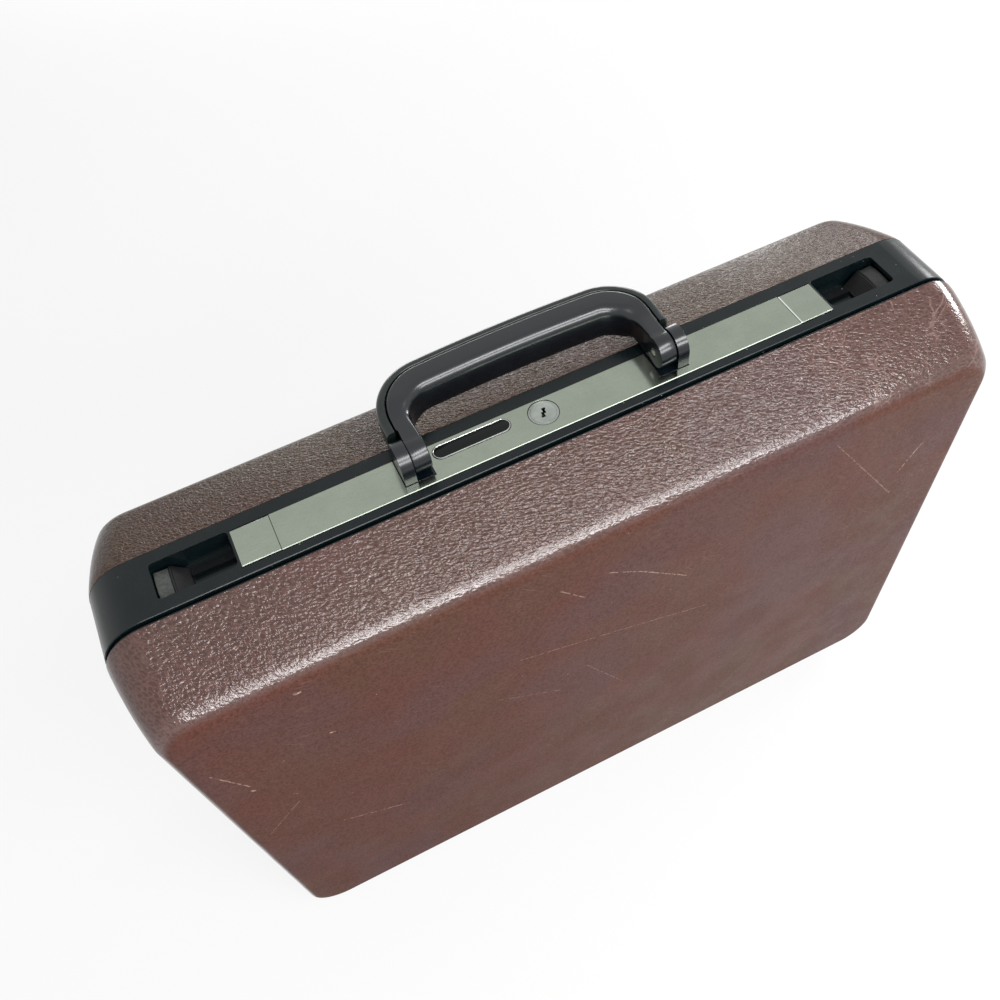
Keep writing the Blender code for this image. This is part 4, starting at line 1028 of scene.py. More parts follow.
@dataclass
class Shell:
    """One grained shell: a tray whose wall leans in from its rim to its flat face."""

    shop: Workshop
    node: str
    half: Half
    corner: float = 24.3 * MM
    face_corner: float = 18.5 * MM
    corner_power: float = 0.53
    wall: float = 2.6 * MM
    top_draft: float = math.radians(18.4)
    side_draft: float = math.radians(7.9)
    top_bulge: float = 2.8 * MM
    side_bulge: float = 2.9 * MM
    bulge_power: float = 3
    top_edge: float = 7.3 * MM
    side_edge: float = 5.5 * MM
    least_edge: float = 0.8 * MM
    wall_steps: int = 12
    edge_steps: int = 10
    corner_steps: int = 16
    face_margin: float = 1.5 * MM

    def __post_init__(self) -> None:
        """Read the shell's corners from the frame."""
        low, high = self.shop.box(self.node)
        self.low, self.high = low, high
        self.rim = min(abs(low.y), abs(high.y))
        self.face = max(abs(low.y), abs(high.y))
        self.reach = self.face - self.rim

    def inset(self, depth: float, draft: float, bulge: float, radius: float, offset: float) -> float:
        """How far the wall lies inside the rim's outline, at a depth from the rim.

        Args:
            depth: the distance from the rim.
            draft: the wall's slope.
            bulge: how far the wall bends inwards.
            radius: the radius of the edge round the flat face.
            offset: zero for the outer skin, the wall's thickness for the inner one.

        Returns:
            The distance.
        """
        edge = max(radius - offset, self.least_edge)
        into = min(max(depth - (self.reach - offset - edge), 0), edge)
        rounding = edge - math.sqrt(max(edge * edge - into * into, 0))
        return offset + depth * math.tan(draft) + bulge * (depth / self.reach) ** self.bulge_power + rounding

    def outline(self, depth: float, offset: float, extra: float = 0.0) -> Ring:
        """The wall's outline at a depth, drawn in by an extra margin.

        Args:
            depth: the distance from the rim.
            offset: zero for the outer skin, the wall's thickness for the inner one.
            extra: the extra margin.

        Returns:
            The ring.
        """
        side = self.inset(depth, self.side_draft, self.side_bulge, self.side_edge, offset) + extra
        top = self.inset(depth, self.top_draft, self.top_bulge, self.top_edge, offset) + extra
        share = (depth / self.reach) ** self.corner_power
        radius = self.corner + (self.face_corner - self.corner) * share - offset - extra
        flat = rounded((self.low.x + side, self.low.z + side), (self.high.x - side, self.high.z - top),
                       radius, self.corner_steps)
        return [Vector((x, self.half.value * (self.rim + depth), z)) for x, z in flat]

    def tray(self, offset: float) -> list[Ring]:
        """The rings of one skin, from the rim to the face.

        Args:
            offset: zero for the outer skin, the wall's thickness for the inner one.

        Returns:
            The rings.
        """
        last = self.reach - offset
        edge = max(self.top_edge - offset, self.least_edge)
        straight = last - edge
        depths = [straight * step / self.wall_steps for step in range(self.wall_steps)]
        for step in range(self.edge_steps + 1):
            depths.append(straight + edge * math.sin(step / self.edge_steps * math.pi / 2))
        rings = [self.outline(depth, offset) for depth in depths]
        rings.append(self.outline(last, offset, self.face_margin))
        return rings

    def build(self, material: Material) -> Piece:
        """Build the shell.

        Args:
            material: the shell's finish.

        Returns:
            The piece.
        """
        rings = self.tray(self.wall)[::-1] + self.tray(0)
        mesh = skinned(self.node, rings)
        return self.shop.add(f"{self.node}_dressed", mesh, material, self.node)


# The handle


@dataclass
class Handle:
    """The folding grip with its two legs, and the strip along its outer side."""

    shop: Workshop
    seam: float = 69.5 * MM
    notch: float = 10.6 * MM
    reach: float = 42.1 * MM
    crown: float = 1.2 * MM
    corner: float = 24 * MM
    leg_width: float = 10.2 * MM
    grip_width: float = 14.3 * MM
    leg_half: float = 8.1 * MM
    grip_half: float = 10.5 * MM
    strip_wall: float = 4.6 * MM
    strip_trim: float = 0.7 * MM
    edge: float = 5.2 * MM
    leg_edge: float = 1.2 * MM
    seam_edge: float = 2.2 * MM
    strip_edge: float = 3.0 * MM
    strip_seam_edge: float = 0.6 * MM
    leg_end: float = 8.4 * MM
    end_narrowing: float = 0.2 * MM
    end_round: float = 0.6 * MM
    ear_inner: float = 69 * MM
    leg_inner: float = 60 * MM
    swell_start: float = 15.5 * MM
    section_steps: int = 8
    leg_steps: int = 6
    bend_steps: int = 20
    crown_steps: int = 8

    def __post_init__(self) -> None:
        """Find the pivot from the pin."""
        low, high = self.shop.box("right_handle_pin")
        self.pivot = (low + high) / 2
        self.pin_radius = (high.z - low.z) / 2

    @staticmethod
    def ease(value: float, start: float, end: float) -> float:
        """A smooth step from 0 at the start to 1 at the end."""
        share = min(max((value - start) / (end - start), 0), 1)
        return share * share * (3 - 2 * share)

    def stations(self, start: float) -> list[tuple[Vector, Vector]]:
        """The seam from one leg round to the other: place and outward direction.

        Args:
            start: the reach from the pivot at which the legs begin.

        Returns:
            The stations, from one leg's end to the other's.
        """
        bend_y = self.reach - self.corner
        inner_x = self.seam - self.corner
        leg = [reach for reach in (0, self.notch / 2, self.notch - SEAT_GAP) if reach >= start]
        leg += [self.notch + (bend_y - self.notch) * step / self.leg_steps for step in range(self.leg_steps)]
        half = [(Vector((self.seam, reach)), Vector((1, 0))) for reach in leg]
        for step in range(self.bend_steps + 1):
            angle = step / self.bend_steps * math.pi / 2
            outward = Vector((math.cos(angle), math.sin(angle)))
            half.append((Vector((inner_x, bend_y)) + outward * self.corner, outward))
        for step in range(1, self.crown_steps + 1):
            share = 1 - step / self.crown_steps
            outward = Vector((2 * self.crown * share / inner_x, 1)).normalized()
            half.append((Vector((inner_x * share, self.reach + self.crown * (1 - share * share))), outward))
        flip = Vector((-1, 1))
        return half + [(point * flip, outward * flip) for point, outward in reversed(half[:-1])]

    def section(self, point: Vector, outward: Vector, inner: float, outer: float, half: float,
                inner_edge: float, outer_edge: float) -> Ring:
        """A rounded section across the handle, from its inner side to its outer side.

        Args:
            point: the place on the seam.
            outward: the direction to the outer side.
            inner: the inner side's distance from the seam.
            outer: the outer side's distance from the seam.
            half: half the thickness.
            inner_edge: the rounding of the inner side.
            outer_edge: the rounding of the outer side.

        Returns:
            The ring.
        """
        right, left = outer - outer_edge, inner + inner_edge
        corners = ((right, half - outer_edge, outer_edge), (left, half - inner_edge, inner_edge),
                   (left, inner_edge - half, inner_edge), (right, outer_edge - half, outer_edge))
        ring = []
        for first, (x, y, radius) in enumerate(corners):
            for across, up in quarter((x, y), radius, first, self.section_steps):
                flat = point + outward * across
                ring.append(Vector((flat.x, self.pivot.y + flat.y, self.pivot.z + up)))
        return ring

    def half_at(self, reach: float) -> float:
        """Half the handle's thickness at a reach from the pivot."""
        share = self.ease(reach, self.swell_start, self.reach - self.corner / 2)
        return self.leg_half + (self.grip_half - self.leg_half) * share

    def grip_rings(self) -> list[Ring]:
        """The grip's sections, from leg end to leg end.

        Returns:
            The rings.
        """
        rings = []
        ear_side = SEAT_GAP + self.end_narrowing + self.seam - self.ear_inner
        inner_side = self.seam - self.leg_inner - self.end_narrowing
        for point, outward in self.stations(0):
            in_leg = self.ease(point.y, self.notch / 2, self.notch + self.corner / 2)
            swell = self.ease(point.y, self.notch, self.reach)
            width = self.leg_width + (self.grip_width - self.leg_width) * swell
            below = point.y < self.notch
            inner = inner_side + (width - inner_side) * in_leg
            edge = self.leg_edge + (self.edge - self.leg_edge) * in_leg
            rings.append(self.section(point, outward, -inner, -ear_side if below else -SEAT_GAP / 2,
                                      self.half_at(point.y), edge, self.leg_edge if below else self.seam_edge))
        return rings

    def strip_rings(self) -> list[Ring]:
        """The strip's sections, between its two end notches.

        Returns:
            The rings.
        """
        rings = []
        for point, outward in self.stations(self.notch):
            half = self.half_at(point.y) - self.strip_trim
            rings.append(self.section(point, outward, SEAT_GAP / 2, self.strip_wall + SEAT_GAP / 2, half,
                                      self.strip_seam_edge, self.strip_edge))
        return rings

    def build(self, grip: Material, strip: Material) -> None:
        """Build the grip and the strip.

        Args:
            grip: the grip's finish.
            strip: the strip's finish.
        """
        mesh = skinned("handle_grip", self.grip_rings())
        body = self.shop.add("handle_grip_dressed", mesh, grip, "handle_grip")
        helpers = []
        outer = self.ear_inner - SEAT_GAP
        for side in SIDES.values():
            middle = Vector((side * (outer + self.leg_inner) / 2, self.pivot.y, self.pivot.z))
            width = outer - self.leg_inner
            helpers += [("UNION", cylinder_mesh(middle, self.leg_end, width, 96, self.end_round)),
                        ("DIFFERENCE", cylinder_mesh(middle, self.pin_radius + SEAT_GAP, 2 * width, 32))]
        carve(body, helpers)
        mesh = skinned("handle_strip", self.strip_rings())
        self.shop.add("handle_strip_dressed", mesh, strip, "handle_strip")


def cylinder_mesh(centre: Vector, radius: float, length: float, segments: int,
                  chamfer: float = 0.0) -> Mesh:
    """A cylinder along X about its centre, with its two rims rounded by a chamfer.

    Args:
        centre: the centre.
        radius: the radius.
        length: the length.
        segments: the steps around.
        chamfer: the rounding of the two rims.

    Returns:
        The mesh.
    """
    profile = [(radius - chamfer, 0.0), (radius - chamfer * 0.3, chamfer * 0.3), (radius, chamfer)]
    if not chamfer:
        profile = [(radius, 0.0)]
    ends = [(r, x - length / 2) for r, x in profile] + [(r, length / 2 - x) for r, x in profile[::-1]]
    around = circle(segments)
    return skinned("cylinder", [[centre + Vector((along, reach * y, reach * z)) for y, z in around]
                                for reach, along in ends])


def carve(piece: Piece, helpers: list[tuple[str, Mesh]]) -> Piece:
    """Join meshes to a piece or cut them from it, and leave a plain mesh.

    Args:
        piece: the piece.
        helpers: each operation, UNION or DIFFERENCE, with its mesh.

    Returns:
        The piece.
    """
    made = []
    for operation, mesh in helpers:
        helper = linked("helper", mesh)
        made.append(helper)
        boolean = piece.modifiers.new(operation.lower(), "BOOLEAN")
        boolean.operation = operation
        boolean.solver = "EXACT"
        boolean.object = helper
    plain_mesh(piece)
    for helper in made:
        bpy.data.objects.remove(helper)
    piece.data.shade_smooth()
    piece.data.set_sharp_from_angle(angle=math.radians(35))
    return piece


# The lock rail and what it holds


@dataclass
class LockRail:
    """The black rails round both halves, with the housing of the lock and its cover."""

    shop: Workshop
    housing_edge: float = 0.08 * MM
    frame_edge: float = 0.25 * MM
    screw_edge: float = 0.15 * MM
    screw_slot: float = 0.5 * MM
    screw_depth: float = 0.6 * MM
    screw_reach: float = 0.32

    def build(self, rail: Material, cover: Material, steel: Material) -> None:
        """Build the rails, the cover and its screws.

        Args:
            rail: the rails' finish.
            cover: the cover's finish.
            steel: the screws' finish.
        """
        self.shop.softened("lock_housing", rail, self.housing_edge)
        for node, finish in (("base_frame", rail), ("lid_frame", rail), ("housing_cover", cover)):
            self.shop.softened(node, finish, self.frame_edge)
        for number in range(1, 5):
            self.screw(f"cover_screw_{number}", steel)

    def screw(self, node: str, steel: Material) -> None:
        """Build one screw, whose head below the cover has a cross in it.

        Args:
            node: the screw's node.
            steel: its finish.
        """
        low, high = self.shop.box(node)
        centre = (low + high) / 2
        piece = self.shop.softened(node, steel, self.screw_edge)
        reach = (high.x - low.x) * self.screw_reach
        half = self.screw_slot / 2
        floor = low.z + self.screw_depth
        cuts = []
        for across, along in ((reach, half), (half, reach)):
            cuts.append(("DIFFERENCE", block((centre.x - across, centre.y - along, low.z - MM),
                                             (centre.x + across, centre.y + along, floor))))
        carve(piece, cuts)


@dataclass
class LockPlate:
    """The metal plate with the key cylinder and the bare badge."""

    shop: Workshop
    edge: float = 0.27 * MM
    barrel_edge: float = 0.1 * MM
    cam_edge: float = 0.15 * MM
    steps: int = 20
    badge_rim: float = 0.5 * MM
    badge_drop: float = 0.22 * MM
    badge_round: float = 0.2 * MM
    face_round: float = 0.18 * MM
    ring_place: float = 0.86
    ring_width: float = 0.22 * MM
    ring_depth: float = 0.16 * MM
    key_width: float = 1.3 * MM
    key_length: float = 5.4 * MM
    key_step: float = 1.2 * MM
    key_depth: float = 3.0 * MM
    flange: float = 1.1 * MM
    body: float = 5.0 * MM

    def build(self, plate: Material, zinc: Material, enamel: Material, steel: Material) -> None:
        """Build the plate, the lock and the badge.

        Args:
            plate: the plate's finish.
            zinc: the lock's finish.
            enamel: the finish of the badge's field.
            steel: the finish of the cam and the badge's rim.
        """
        self.shop.softened("centre_plate", plate, self.edge, 3)
        self.build_cylinder(zinc)
        self.shop.softened("lock_barrel", zinc, self.barrel_edge)
        self.shop.softened("lock_cam", steel, self.cam_edge)
        self.build_badge(steel, enamel)

    def build_cylinder(self, zinc: Material) -> None:
        """Turn the key cylinder, with a ring in its face, and cut its stepped keyway.

        Args:
            zinc: its finish.
        """
        low, high = self.shop.box("lock_cylinder")
        centre = Vector(((low.x + high.x) / 2, (low.y + high.y) / 2, high.z))
        face = (high.x - low.x) / 2
        ring, half, soft = face * self.ring_place, self.ring_width / 2, self.face_round
        foot = low.z - high.z
        profile = [
            (self.body - soft, foot), (self.body, foot + soft), (self.body, -self.flange),
            (face, -self.flange), (face, -soft), (face - soft * 0.3, -soft * 0.3), (face - soft, 0),
            (ring + half, 0), (ring, -self.ring_depth), (ring - half, 0), (ring * 0.5, 0), (ring * 0.1, 0),
        ]
        mesh = revolved("lock_cylinder", centre, profile, 96)
        piece = self.shop.add("lock_cylinder_dressed", mesh, zinc, "lock_cylinder")
        wide, long, step = self.key_width / 2, self.key_length / 2, self.key_step
        near, far = wide - step / 2, wide + step / 2
        end = wide + step
        flat = [(-end, -long), (near, -long), (near, -long / 4), (far, -long / 4), (far, long / 2),
                (end, long / 2), (end, long), (-near, long), (-near, long / 6), (-far, long / 6),
                (-far, -long / 2), (-end, -long / 2)]
        outline = [centre + Vector((x, y, -self.key_depth)) for x, y in flat]
        carve(piece, [("DIFFERENCE", prism("keyway", outline, Vector((0, 0, self.key_depth + MM))))])

    def build_badge(self, rim: Material, enamel: Material) -> None:
        """Build the badge: a bright rim about a bare dark field.

        Args:
            rim: the rim's finish.
            enamel: the field's finish.
        """
        low, high = self.shop.box("badge")
        width, soft = self.badge_rim, self.badge_round
        profile = [
            (0, low.z), (0, high.z - soft), (soft * 0.3, high.z - soft * 0.3), (soft, high.z),
            (width - soft / 2, high.z), (width, high.z - soft / 2), (width, high.z - 3 * self.badge_drop),
        ]
        rings = [self.pill(low, high, inset, height) for inset, height in profile]
        self.shop.add("badge_rim", skinned("badge_rim", rings), rim, "badge")
        top = high.z - self.badge_drop
        profile = [(width, top - 2 * self.badge_drop), (width, top - soft / 2), (width + soft, top)]
        rings = [self.pill(low, high, inset, height) for inset, height in profile]
        self.shop.add("badge_field", skinned("badge_field", rings), enamel, "badge", replaced=False)

    def pill(self, low: Vector, high: Vector, inset: float, height: float) -> Ring:
        """The badge's outline, drawn in by an inset, at a height.

        Args:
            low: the badge's lowest corner.
            high: its highest corner.
            inset: the inset.
            height: the height.

        Returns:
            The ring.
        """
        flat = rounded((low.x + inset, low.y + inset), (high.x - inset, high.y - inset),
                       (high.y - low.y) / 2 - inset - MERGE, self.steps)
        return [Vector((x, y, height)) for x, y in flat]


@dataclass
class ThumbLatch:
    """One latch: the ribbed button with its bar and spring, the lock's rod, the keeper and the hasp."""

    shop: Workshop
    word: str
    flat: float = 8.3 * MM
    foot: float = 1.2 * MM
    arch: float = 1.1 * MM
    crest: float = 0.7 * MM
    hollow: float = 1.1 * MM
    hollow_steps: int = 8
    ribs: int = 12
    rib_depth: float = 0.32 * MM
    rib_start: float = 0.07
    side_round: float = 0.5 * MM
    stations: int = 24
    wire: float = 0.3 * MM
    turns: float = 9.0
    bar_edge: float = 0.25 * MM
    keeper_edge: float = 0.3 * MM
    rod_edge: float = 0.2 * MM
    hasp_edge: float = 0.25 * MM
    hasp_gap: float = 0.05 * MM

    def build(self, finishes: Finishes, coil: Coil) -> None:
        """Build the latch's pieces.

        Args:
            finishes: all finishes.
            coil: the tree that winds the spring.
        """
        button = skinned(f"{self.word}_button", self.button_rings(), sharp=40)
        self.shop.add(f"{self.word}_button_dressed", button, finishes["rubbed_lit_black"], f"{self.word}_button")
        self.shop.softened(f"{self.word}_slide_bar", finishes["worn_black"], self.bar_edge)
        self.build_hasp(finishes["satin_plate"])
        self.shop.softened(f"{self.word}_keeper", finishes["zinc"], self.keeper_edge)
        self.shop.softened(f"{self.word}_lock_rod", finishes["bright_steel"], self.rod_edge)
        node = f"{self.word}_spring"
        low, high = self.shop.box(node)
        mesh = bpy.data.meshes.new(node)
        spring = self.shop.add(f"{node}_coil", mesh, finishes["bright_steel"], node)
        coil.run(spring, centre=tuple((low + high) / 2), length=high.x - low.x - 2 * self.wire,
                 turns=self.turns, radius=(high.z - low.z) / 2 - self.wire, wire=self.wire,
                 finish=finishes["bright_steel"])
        spring.data.shade_smooth()

    def build_hasp(self, plate: Material) -> None:
        """Build the hasp, with its inner end drawn back a hair from the housing's shelf.

        Args:
            plate: its finish.
        """
        low, high = self.shop.box(f"{self.word}_hasp")
        inner = min(abs(low.x), abs(high.x))
        hasp = self.shop.softened(f"{self.word}_hasp", plate, self.hasp_edge, 3)
        for vertex in hasp.data.vertices:
            if abs(vertex.co.x) < inner + self.hasp_gap:
                vertex.co.x *= 1 + self.hasp_gap / inner

    def button_rings(self) -> list[Ring]:
        """The button's outline at stations from front to back: a flat, a crest and a ribbed ramp.

        Returns:
            The rings.
        """
        low, high = self.shop.box(f"{self.word}_button")
        side = SIDES[self.word]
        outer = high.x if side > 0 else low.x
        length, rise = high.x - low.x, high.z - low.z
        middle, half = (low.y + high.y) / 2, (high.y - low.y) / 2
        round_share = self.side_round / half
        ends = [(-1, self.side_round), (-1 + round_share * 0.3, self.side_round * 0.3)]
        inner = [(-1 + round_share + 2 * (1 - round_share) * step / self.stations, 0.0)
                 for step in range(self.stations + 1)]
        rings = []
        for share, inset in ends + inner + [(-at, inset) for at, inset in reversed(ends)]:
            lower = 1 - (self.arch * share * share + inset) / rise
            rings.append([Vector((outer - side * reach, middle + half * share,
                                  low.z + height * (lower if height > self.foot else 1)))
                          for reach, height in self.profile(length, rise, inset)])
        return rings

    def profile(self, length: float, height: float, inset: float) -> list[Point]:
        """The outline from the outer wall over the flat and down the ribs, as reach and height.

        Args:
            length: the button's length.
            height: its height.
            inset: how far its outer wall is drawn in.

        Returns:
            The points.
        """
        outer, radius = height - 0.4 * self.hollow, self.crest / 2
        points = [(inset, 0.0), (inset, outer - self.crest)]
        points += quarter((radius + inset, outer - radius), radius, 1, 5)[::-1]
        first, last = self.crest + inset, self.flat - 1.5 * self.hollow
        for step in range(1, self.hollow_steps + 1):
            share = step / self.hollow_steps
            points.append((first + (last - first) * share,
                           outer - 0.6 * self.hollow * math.sin(math.pi / 2 * share)))
        points += [(last + reach * self.hollow, height - sunk * self.hollow)
                   for reach, sunk in ((0.25, 0.93), (0.5, 0.60), (0.75, 0.18))]
        run = Vector((length - self.flat, self.foot - height))
        inward = Vector((run.y, -run.x)).normalized() * self.rib_depth
        top = Vector((self.flat, height))
        points += [(self.flat - self.crest, height),
                   (self.flat - self.crest * 0.3, height - self.crest * 0.1)]
        for rib in range(self.ribs):
            for step, sunk in ((0.0, 1.0), (0.25, 0.25), (0.5, 0.0), (0.75, 0.25)):
                share = self.rib_start + (1 - self.rib_start) * (rib + step) / self.ribs
                points.append(tuple(top + run * share + inward * sunk))
        return points + [(length, self.foot), (length, 0.0)]


@dataclass
class Bracket:
    """One foot of the handle, with its ear and pin."""

    shop: Workshop
    word: str
    edge: float = 0.5 * MM
    pin_edge: float = 0.2 * MM

    def build(self, black: Material, steel: Material) -> None:
        """Build the bracket and the pin."""
        self.shop.softened(f"{self.word}_handle_bracket", black, self.edge, 3)
        self.shop.softened(f"{self.word}_handle_pin", steel, self.pin_edge)


@dataclass
class Fittings:
    """What carries the lid on one side: hinge, stay and feet."""

    shop: Workshop
    word: str
    hinge_edge: float = 0.12 * MM
    stay_edge: float = 0.2 * MM
    foot_edge: float = 0.35 * MM

    def build(self, steel: Material, rubber: Material) -> None:
        """Build the fittings.

        Args:
            steel: the finish of the hinge and the stay.
            rubber: the feet's finish.
        """
        for piece in ("base_hinge_leaf", "lid_hinge_leaf", "hinge_pin"):
            self.shop.softened(f"{self.word}_{piece}", steel, self.hinge_edge)
        for piece in ("stay_base_mount", "stay_lid_mount", "stay_base_link", "stay_lid_link"):
            self.shop.softened(f"{self.word}_{piece}", steel, self.stay_edge)
        for half in ("base", "lid"):
            self.shop.softened(f"{self.word}_{half}_foot", rubber, self.foot_edge, 3)


@dataclass
class Interior:
    """The cloth linings of both halves and the lid's pocket for papers."""

    shop: Workshop
    stitch: float = 3.2 * MM
    pitch: float = 5.0 * MM
    thread: float = 0.35 * MM
    margin: float = 5 * MM
    hem: float = 14 * MM
    hem_thickness: float = 0.5 * MM
    hem_corner: float = 1 * MM
    hem_sunk: float = 0.1 * MM
    cloth_edge: float = 0.3 * MM
    panel_edge: float = 0.4 * MM
    stray: float = 0.08 * MM

    def build(self, lining: Material, pocket: Material, thread: Material, row: Row) -> None:
        """Build the linings, the pocket, its hem and its seams.

        Args:
            lining: the linings' finish.
            pocket: the pocket's finish.
            thread: the finish of the stitches.
            row: the tree that repeats a stitch.
        """
        for node, cloth in (("base_lining", lining), ("lid_lining", lining), ("file_pocket_gusset", pocket)):
            self.shop.softened(node, cloth, self.cloth_edge)
        self.shop.softened("file_pocket_panel", pocket, self.panel_edge, 3)
        low, high = self.shop.box("file_pocket_panel")
        rings = []
        thick = self.hem_thickness
        for inset, out in ((0, -self.hem_sunk), (0, thick * 0.6), (self.panel_edge, thick)):
            flat = rounded((low.x + inset, high.z - self.hem + inset), (high.x - inset, high.z - inset),
                           self.hem_corner, 6)
            rings.append([Vector((x, high.y + out, z)) for x, z in flat])
        self.shop.add("pocket_hem", skinned("pocket_hem", rings), pocket, "file_pocket_panel", replaced=False)
        edge, face = self.margin, high.y
        left, right, bottom = low.x + edge, high.x - edge, low.z + edge
        wide, tall = right - left, high.z - edge - bottom - self.hem
        hem = (left, face + thick, high.z - self.hem + edge / 3)
        for name, start, length, upright in (
            ("hem_seam", hem, wide, False),
            ("bottom_seam", (left, face, bottom), wide, False),
            ("left_seam", (left, face, bottom), tall, True),
            ("right_seam", (right, face, bottom), tall, True),
        ):
            self.seam(name, start, length, upright, thread, row)

    def seam(self, name: str, start: Place, length: float, upright: bool, thread: Material, row: Row) -> None:
        """Build one row of stitches along X or up.

        Args:
            name: the seam's name.
            start: the first stitch's place.
            length: the seam's length.
            upright: whether it runs upwards.
            thread: the finish of the stitches.
            row: the tree that repeats a stitch.
        """
        along, across = Vector((1, 0, 0)), Vector((0, 0, 1))
        if upright:
            along, across = across, along
        rings = []
        for share, swell in ((0, 0.3), (0.1, 0.75), (0.3, 1), (0.7, 1), (0.9, 0.75), (1, 0.3)):
            place = Vector(start) + along * self.stitch * share
            radius = self.thread * swell
            rings.append([place + across * radius * side + Vector((0, 0.7 * radius * rise, 0))
                          for rise, side in circle(8)])
        piece = self.shop.add(name, skinned(name, rings), thread, "file_pocket_panel", replaced=False)
        row.run(piece, step=tuple(along * self.pitch), count=int(length / self.pitch), stray=self.stray,
                finish=thread)


# Stage, light and camera


@dataclass
class Studio:
    """A pale floor, soft light and a camera at the photographed angle."""

    camera_place: Place = (-0.1171, -0.2706, 0.6970)
    camera_turn: Place = (34.2204, 5.0757, -25.4361)
    lens: float = 35.036
    floor_size: float = 30.0
    floor_glow: float = 0.80
    sky_light: float = 0.20

    def build(self) -> None:
        """Build the floor, the world, the lamps and the camera."""
        self.make_floor()
        self.make_world()
        for lamp in (("key_lamp", (0.20, -0.80, 1.50), (0.0, -0.06, 0.32), (1.50, 0.30), 20.0),
                     ("low_lamp", (0.20, -1.22, 1.08), (0.0, -0.06, 0.32), (1.50, 0.30), 18.0),
                     ("side_lamp", (1.30, 0.28, 0.58), (0.2, 0.0, 0.3), (0.50, 0.30), 9.0),
                     ("back_lamp", (0.95, 1.10, 0.62), (0.1, 0.0, 0.3), (0.40, 0.30), 2.5),
                     ("rear_fill", (0.40, 1.50, 0.20), (0.0, 0.05, 0.2), (1.20, 0.30), 8.0)):
            self.make_lamp(*lamp)
        camera = bpy.data.cameras.new("camera")
        camera.lens = self.lens
        camera.sensor_width = 36
        camera.clip_start = 0.01
        holder = linked("camera", camera)
        holder.location = self.camera_place
        holder.rotation_euler = Euler([math.radians(angle) for angle in self.camera_turn])
        bpy.context.scene.camera = holder
        bpy.context.scene.view_settings.view_transform = "Standard"

    @staticmethod
    def seen_rays(graph: Graph) -> Socket:
        """One for rays that show the background: from the camera, a reflection or through glass.

        Args:
            graph: the graph in work.

        Returns:
            One for such a ray, zero for another.
        """
        path = graph.add("ShaderNodeLightPath")
        both = graph.math("MAXIMUM", path.outputs["Is Camera Ray"], path.outputs["Is Glossy Ray"])
        return graph.math("MAXIMUM", both, path.outputs["Is Transmission Ray"])

    def make_floor(self) -> None:
        """A pale floor that keeps the object's shadow."""
        material = bpy.data.materials.new("pale_floor")
        material.use_nodes = True
        graph = Graph(material.node_tree)
        graph.tree.nodes.clear()
        matt = graph.add("ShaderNodeBsdfDiffuse", {"Color": (0.75, 0.75, 0.75, 1)})
        glow = graph.add("ShaderNodeEmission", {"Color": (1, 1, 1, 1), "Strength": 1.0})
        share = graph.times(self.seen_rays(graph), self.floor_glow)
        mixed = graph.add("ShaderNodeMixShader", {0: share, 1: matt.outputs[0], 2: glow.outputs[0]})
        graph.add("ShaderNodeOutputMaterial", {0: mixed.outputs[0]})
        bm = bmesh.new()
        bmesh.ops.create_grid(bm, x_segments=1, y_segments=1, size=self.floor_size / 2)
        mesh = bpy.data.meshes.new("floor")
        bm.to_mesh(mesh)
        bm.free()
        mesh.materials.append(material)
        floor = linked("floor", mesh)

    def make_world(self) -> None:
        """A white surround, and even soft light from it."""
        world = bpy.data.worlds.new("surround")
        bpy.context.scene.world = world
        world.use_nodes = True
        graph = Graph(world.node_tree)
        inputs = world.node_tree.nodes["Background"].inputs
        graph.put(inputs["Color"], (1, 1, 1, 1))
        graph.put(inputs["Strength"], graph.ramp(self.seen_rays(graph), 0.0, 1.0, self.sky_light, 1.0))

    @staticmethod
    def make_lamp(name: str, place: Place, aim: Place, size: Point, power: float) -> None:
        """A soft rectangular lamp, turned towards its aim.

        Args:
            name: the lamp's name.
            place: its place.
            aim: the place that it shines at.
            size: its two sides.
            power: its power in watts.
        """
        lamp = bpy.data.lights.new(name, "AREA")
        lamp.shape = "RECTANGLE"
        lamp.size, lamp.size_y = size
        lamp.energy = power
        holder = linked(name, lamp)
        holder.location = place
        holder.rotation_euler = (Vector(aim) - Vector(place)).to_track_quat("-Z", "Y").to_euler()


FACE_SCRATCHES = (
    Scratch((-52, 235), (-2, 218)),
    Scratch((-2, 218), (63, 194)),
    Scratch((-3, 285), (17, 270), 0.5, 0.6),
    Scratch((17, 270), (46, 242), 0.5, 0.6),
    Scratch((127, 303), (180, 225), 0.4, 0.4),
    Scratch((190, 265), (180, 245), 0.6, 0.7),
    Scratch((-14, 190), (9, 144), 0.35, 0.4),
    Scratch((75, 32), (109, 76), 0.35, 0.4),
    Scratch((-173, 141), (-136, 119), 0.5, 0.6),
    Scratch((-210, 267), (-199, 238), 0.5, 0.6),
    Scratch((-68, 200), (-32, 175), 0.35, 0.4),
    Scratch((-27, 287), (-14, 270), 0.5, 0.5),
    Scratch((-209, 171), (-185, 196), 0.35, 0.4),
    Scratch((-200, 233), (-199, 232), 1.0, 1.0),
    Scratch((-185, 207), (-184, 206), 1.0, 1.0),
    Scratch((-153, 255), (-151, 254), 0.8, 0.9),
    Scratch((-157, 306), (-155, 306), 1.2, 1.0),
)


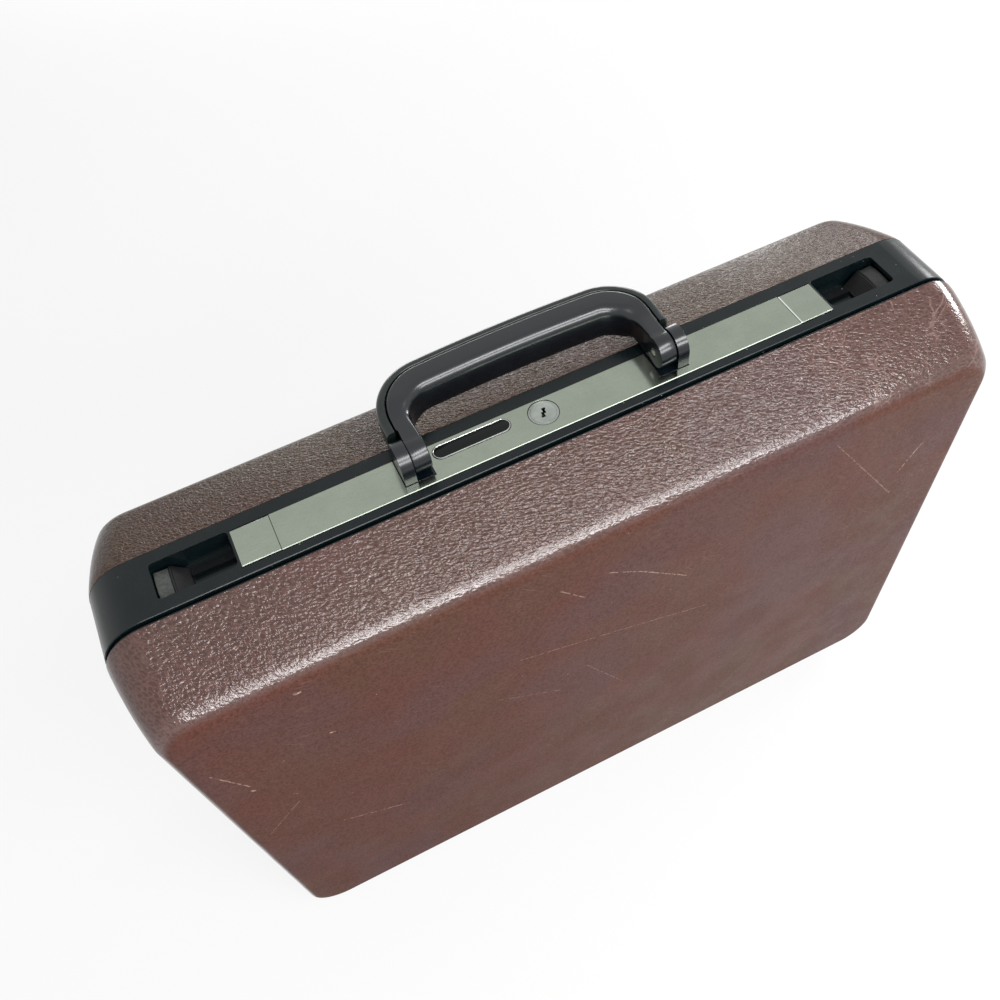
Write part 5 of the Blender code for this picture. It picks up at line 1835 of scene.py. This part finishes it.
@dataclass
class Finishes:
    """All materials of the case, each made once."""

    button: Vector
    plate_height: float
    hasp_place: float
    # Placing the buttons' grey top (partly painted light), the painted shade on the lock and the painted
    # highlight by the hasp.
    rubbed_lit_drop: float = 2.8 * MM
    rubbed_lit_reach: float = 6.6 * MM
    shade_drop: float = 0.4 * MM
    seam_highlight_shift: float = 0.4 * MM
    made: dict[str, Material] = field(default_factory=dict)

    def build(self) -> None:
        """Make every material."""
        plain = (
            Finish("black_rail", (0.002, 0.005, 0.006), 0.24, ior_level=0.28, dust=0.24),
            Finish("gloss_black", (0.001, 0.003, 0.005), 0.24, ior_level=0.60, wear=0.03, dust=0.03),
            Finish("strip_black", (0.006, 0.010, 0.009), 0.22, ior_level=0.45, wear=0.06, dust=0.05),
            Finish("worn_black", (0.003, 0.004, 0.005), 0.42, ior_level=0.12, wear=0.10, dust=0.12),
            RubbedLitPlastic("rubbed_lit_black", (0.006, 0.006, 0.007), 0.38, ior_level=0.35, wear=0.08, dust=0.10,
                          height=self.button.z - self.rubbed_lit_drop, inner=self.button.x - self.rubbed_lit_reach),
            BrushedMetal("satin_plate", (0.31, 0.345, 0.29), 0.17, 1.0, contrast=0.05, wear=0.10, dust=0.05,
                         rim=10.3 * MM, seam=self.hasp_place + self.seam_highlight_shift),
            BrushedMetal("zinc", (0.36, 0.39, 0.36), 0.30, 1.0, contrast=0.2, wear=0.15, dust=0.15,
                         shaded_below=self.plate_height - self.shade_drop),
            BrushedMetal("bright_steel", (0.55, 0.55, 0.54), 0.25, 1.0),
            Cloth("lining_cloth", (0.20, 0.15, 0.11), 0.90, ior_level=0.2, contrast=0.05, wear=0.0),
            Cloth("pocket_cloth", (0.15, 0.10, 0.07), 0.85, ior_level=0.2, contrast=0.06, wear=0.0),
            Finish("thread", (0.28, 0.22, 0.16), 0.8, ior_level=0.2, wear=0.0, grain=0.2 * MM,
                   grain_depth=0.03 * MM),
            Finish("rubber", (0.012, 0.012, 0.012), 0.80, dust=0.05, grain_depth=0.03 * MM),
            Finish("enamel", (0.002, 0.003, 0.003), 0.18, ior_level=0.22, wear=0.02, dust=0.02),
        )
        for finish in plain:
            self.made[finish.name] = finish.make()
        self.made["front_grain"] = GrainedPlastic("front_grain", scratches=FACE_SCRATCHES).make()
        self.made["back_grain"] = GrainedPlastic(
            "back_grain", red=(0.094, 0.052, 0.036), olive=(0.094, 0.062, 0.038), plum=(0.092, 0.062, 0.036),
            strip_level=0.08, ridge_level=0.12, strip_shade=0.22, upright_share=0.3).make()

    def __getitem__(self, name: str) -> Material:
        """A material by its name."""
        return self.made[name]


def clear_scene() -> None:
    """Take out what a new file starts with."""
    for found in list(bpy.data.objects):
        bpy.data.objects.remove(found)


def build_case(shop: Workshop) -> None:
    """Build all pieces of the case.

    Args:
        shop: where pieces are made.
    """
    finishes = Finishes(button=shop.box("right_button")[1], plate_height=shop.box("lock_cylinder")[1].z,
                        hasp_place=shop.box("right_hasp")[0].x)
    finishes.build()
    steel, black = finishes["bright_steel"], finishes["gloss_black"]
    Shell(shop, "front_shell", Half.LID).build(finishes["front_grain"])
    Shell(shop, "back_shell", Half.BASE).build(finishes["back_grain"])
    LockRail(shop).build(finishes["black_rail"], finishes["worn_black"], steel)
    LockPlate(shop).build(finishes["satin_plate"], finishes["zinc"], finishes["enamel"], steel)
    coil, row = Coil(), Row()
    for word in SIDES:
        ThumbLatch(shop, word).build(finishes, coil)
        Bracket(shop, word).build(black, steel)
        Fittings(shop, word).build(steel, finishes["rubber"])
    Handle(shop).build(black, finishes["strip_black"])
    Interior(shop).build(finishes["lining_cloth"], finishes["pocket_cloth"], finishes["thread"], row)


def main() -> None:
    """Build the case's looks around the frame."""
    logging.basicConfig(level=logging.INFO, format="%(name)s: %(message)s")
    clear_scene()
    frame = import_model()
    Studio().build()
    build_case(Workshop(frame))


if __name__ == "__main__":
    main()
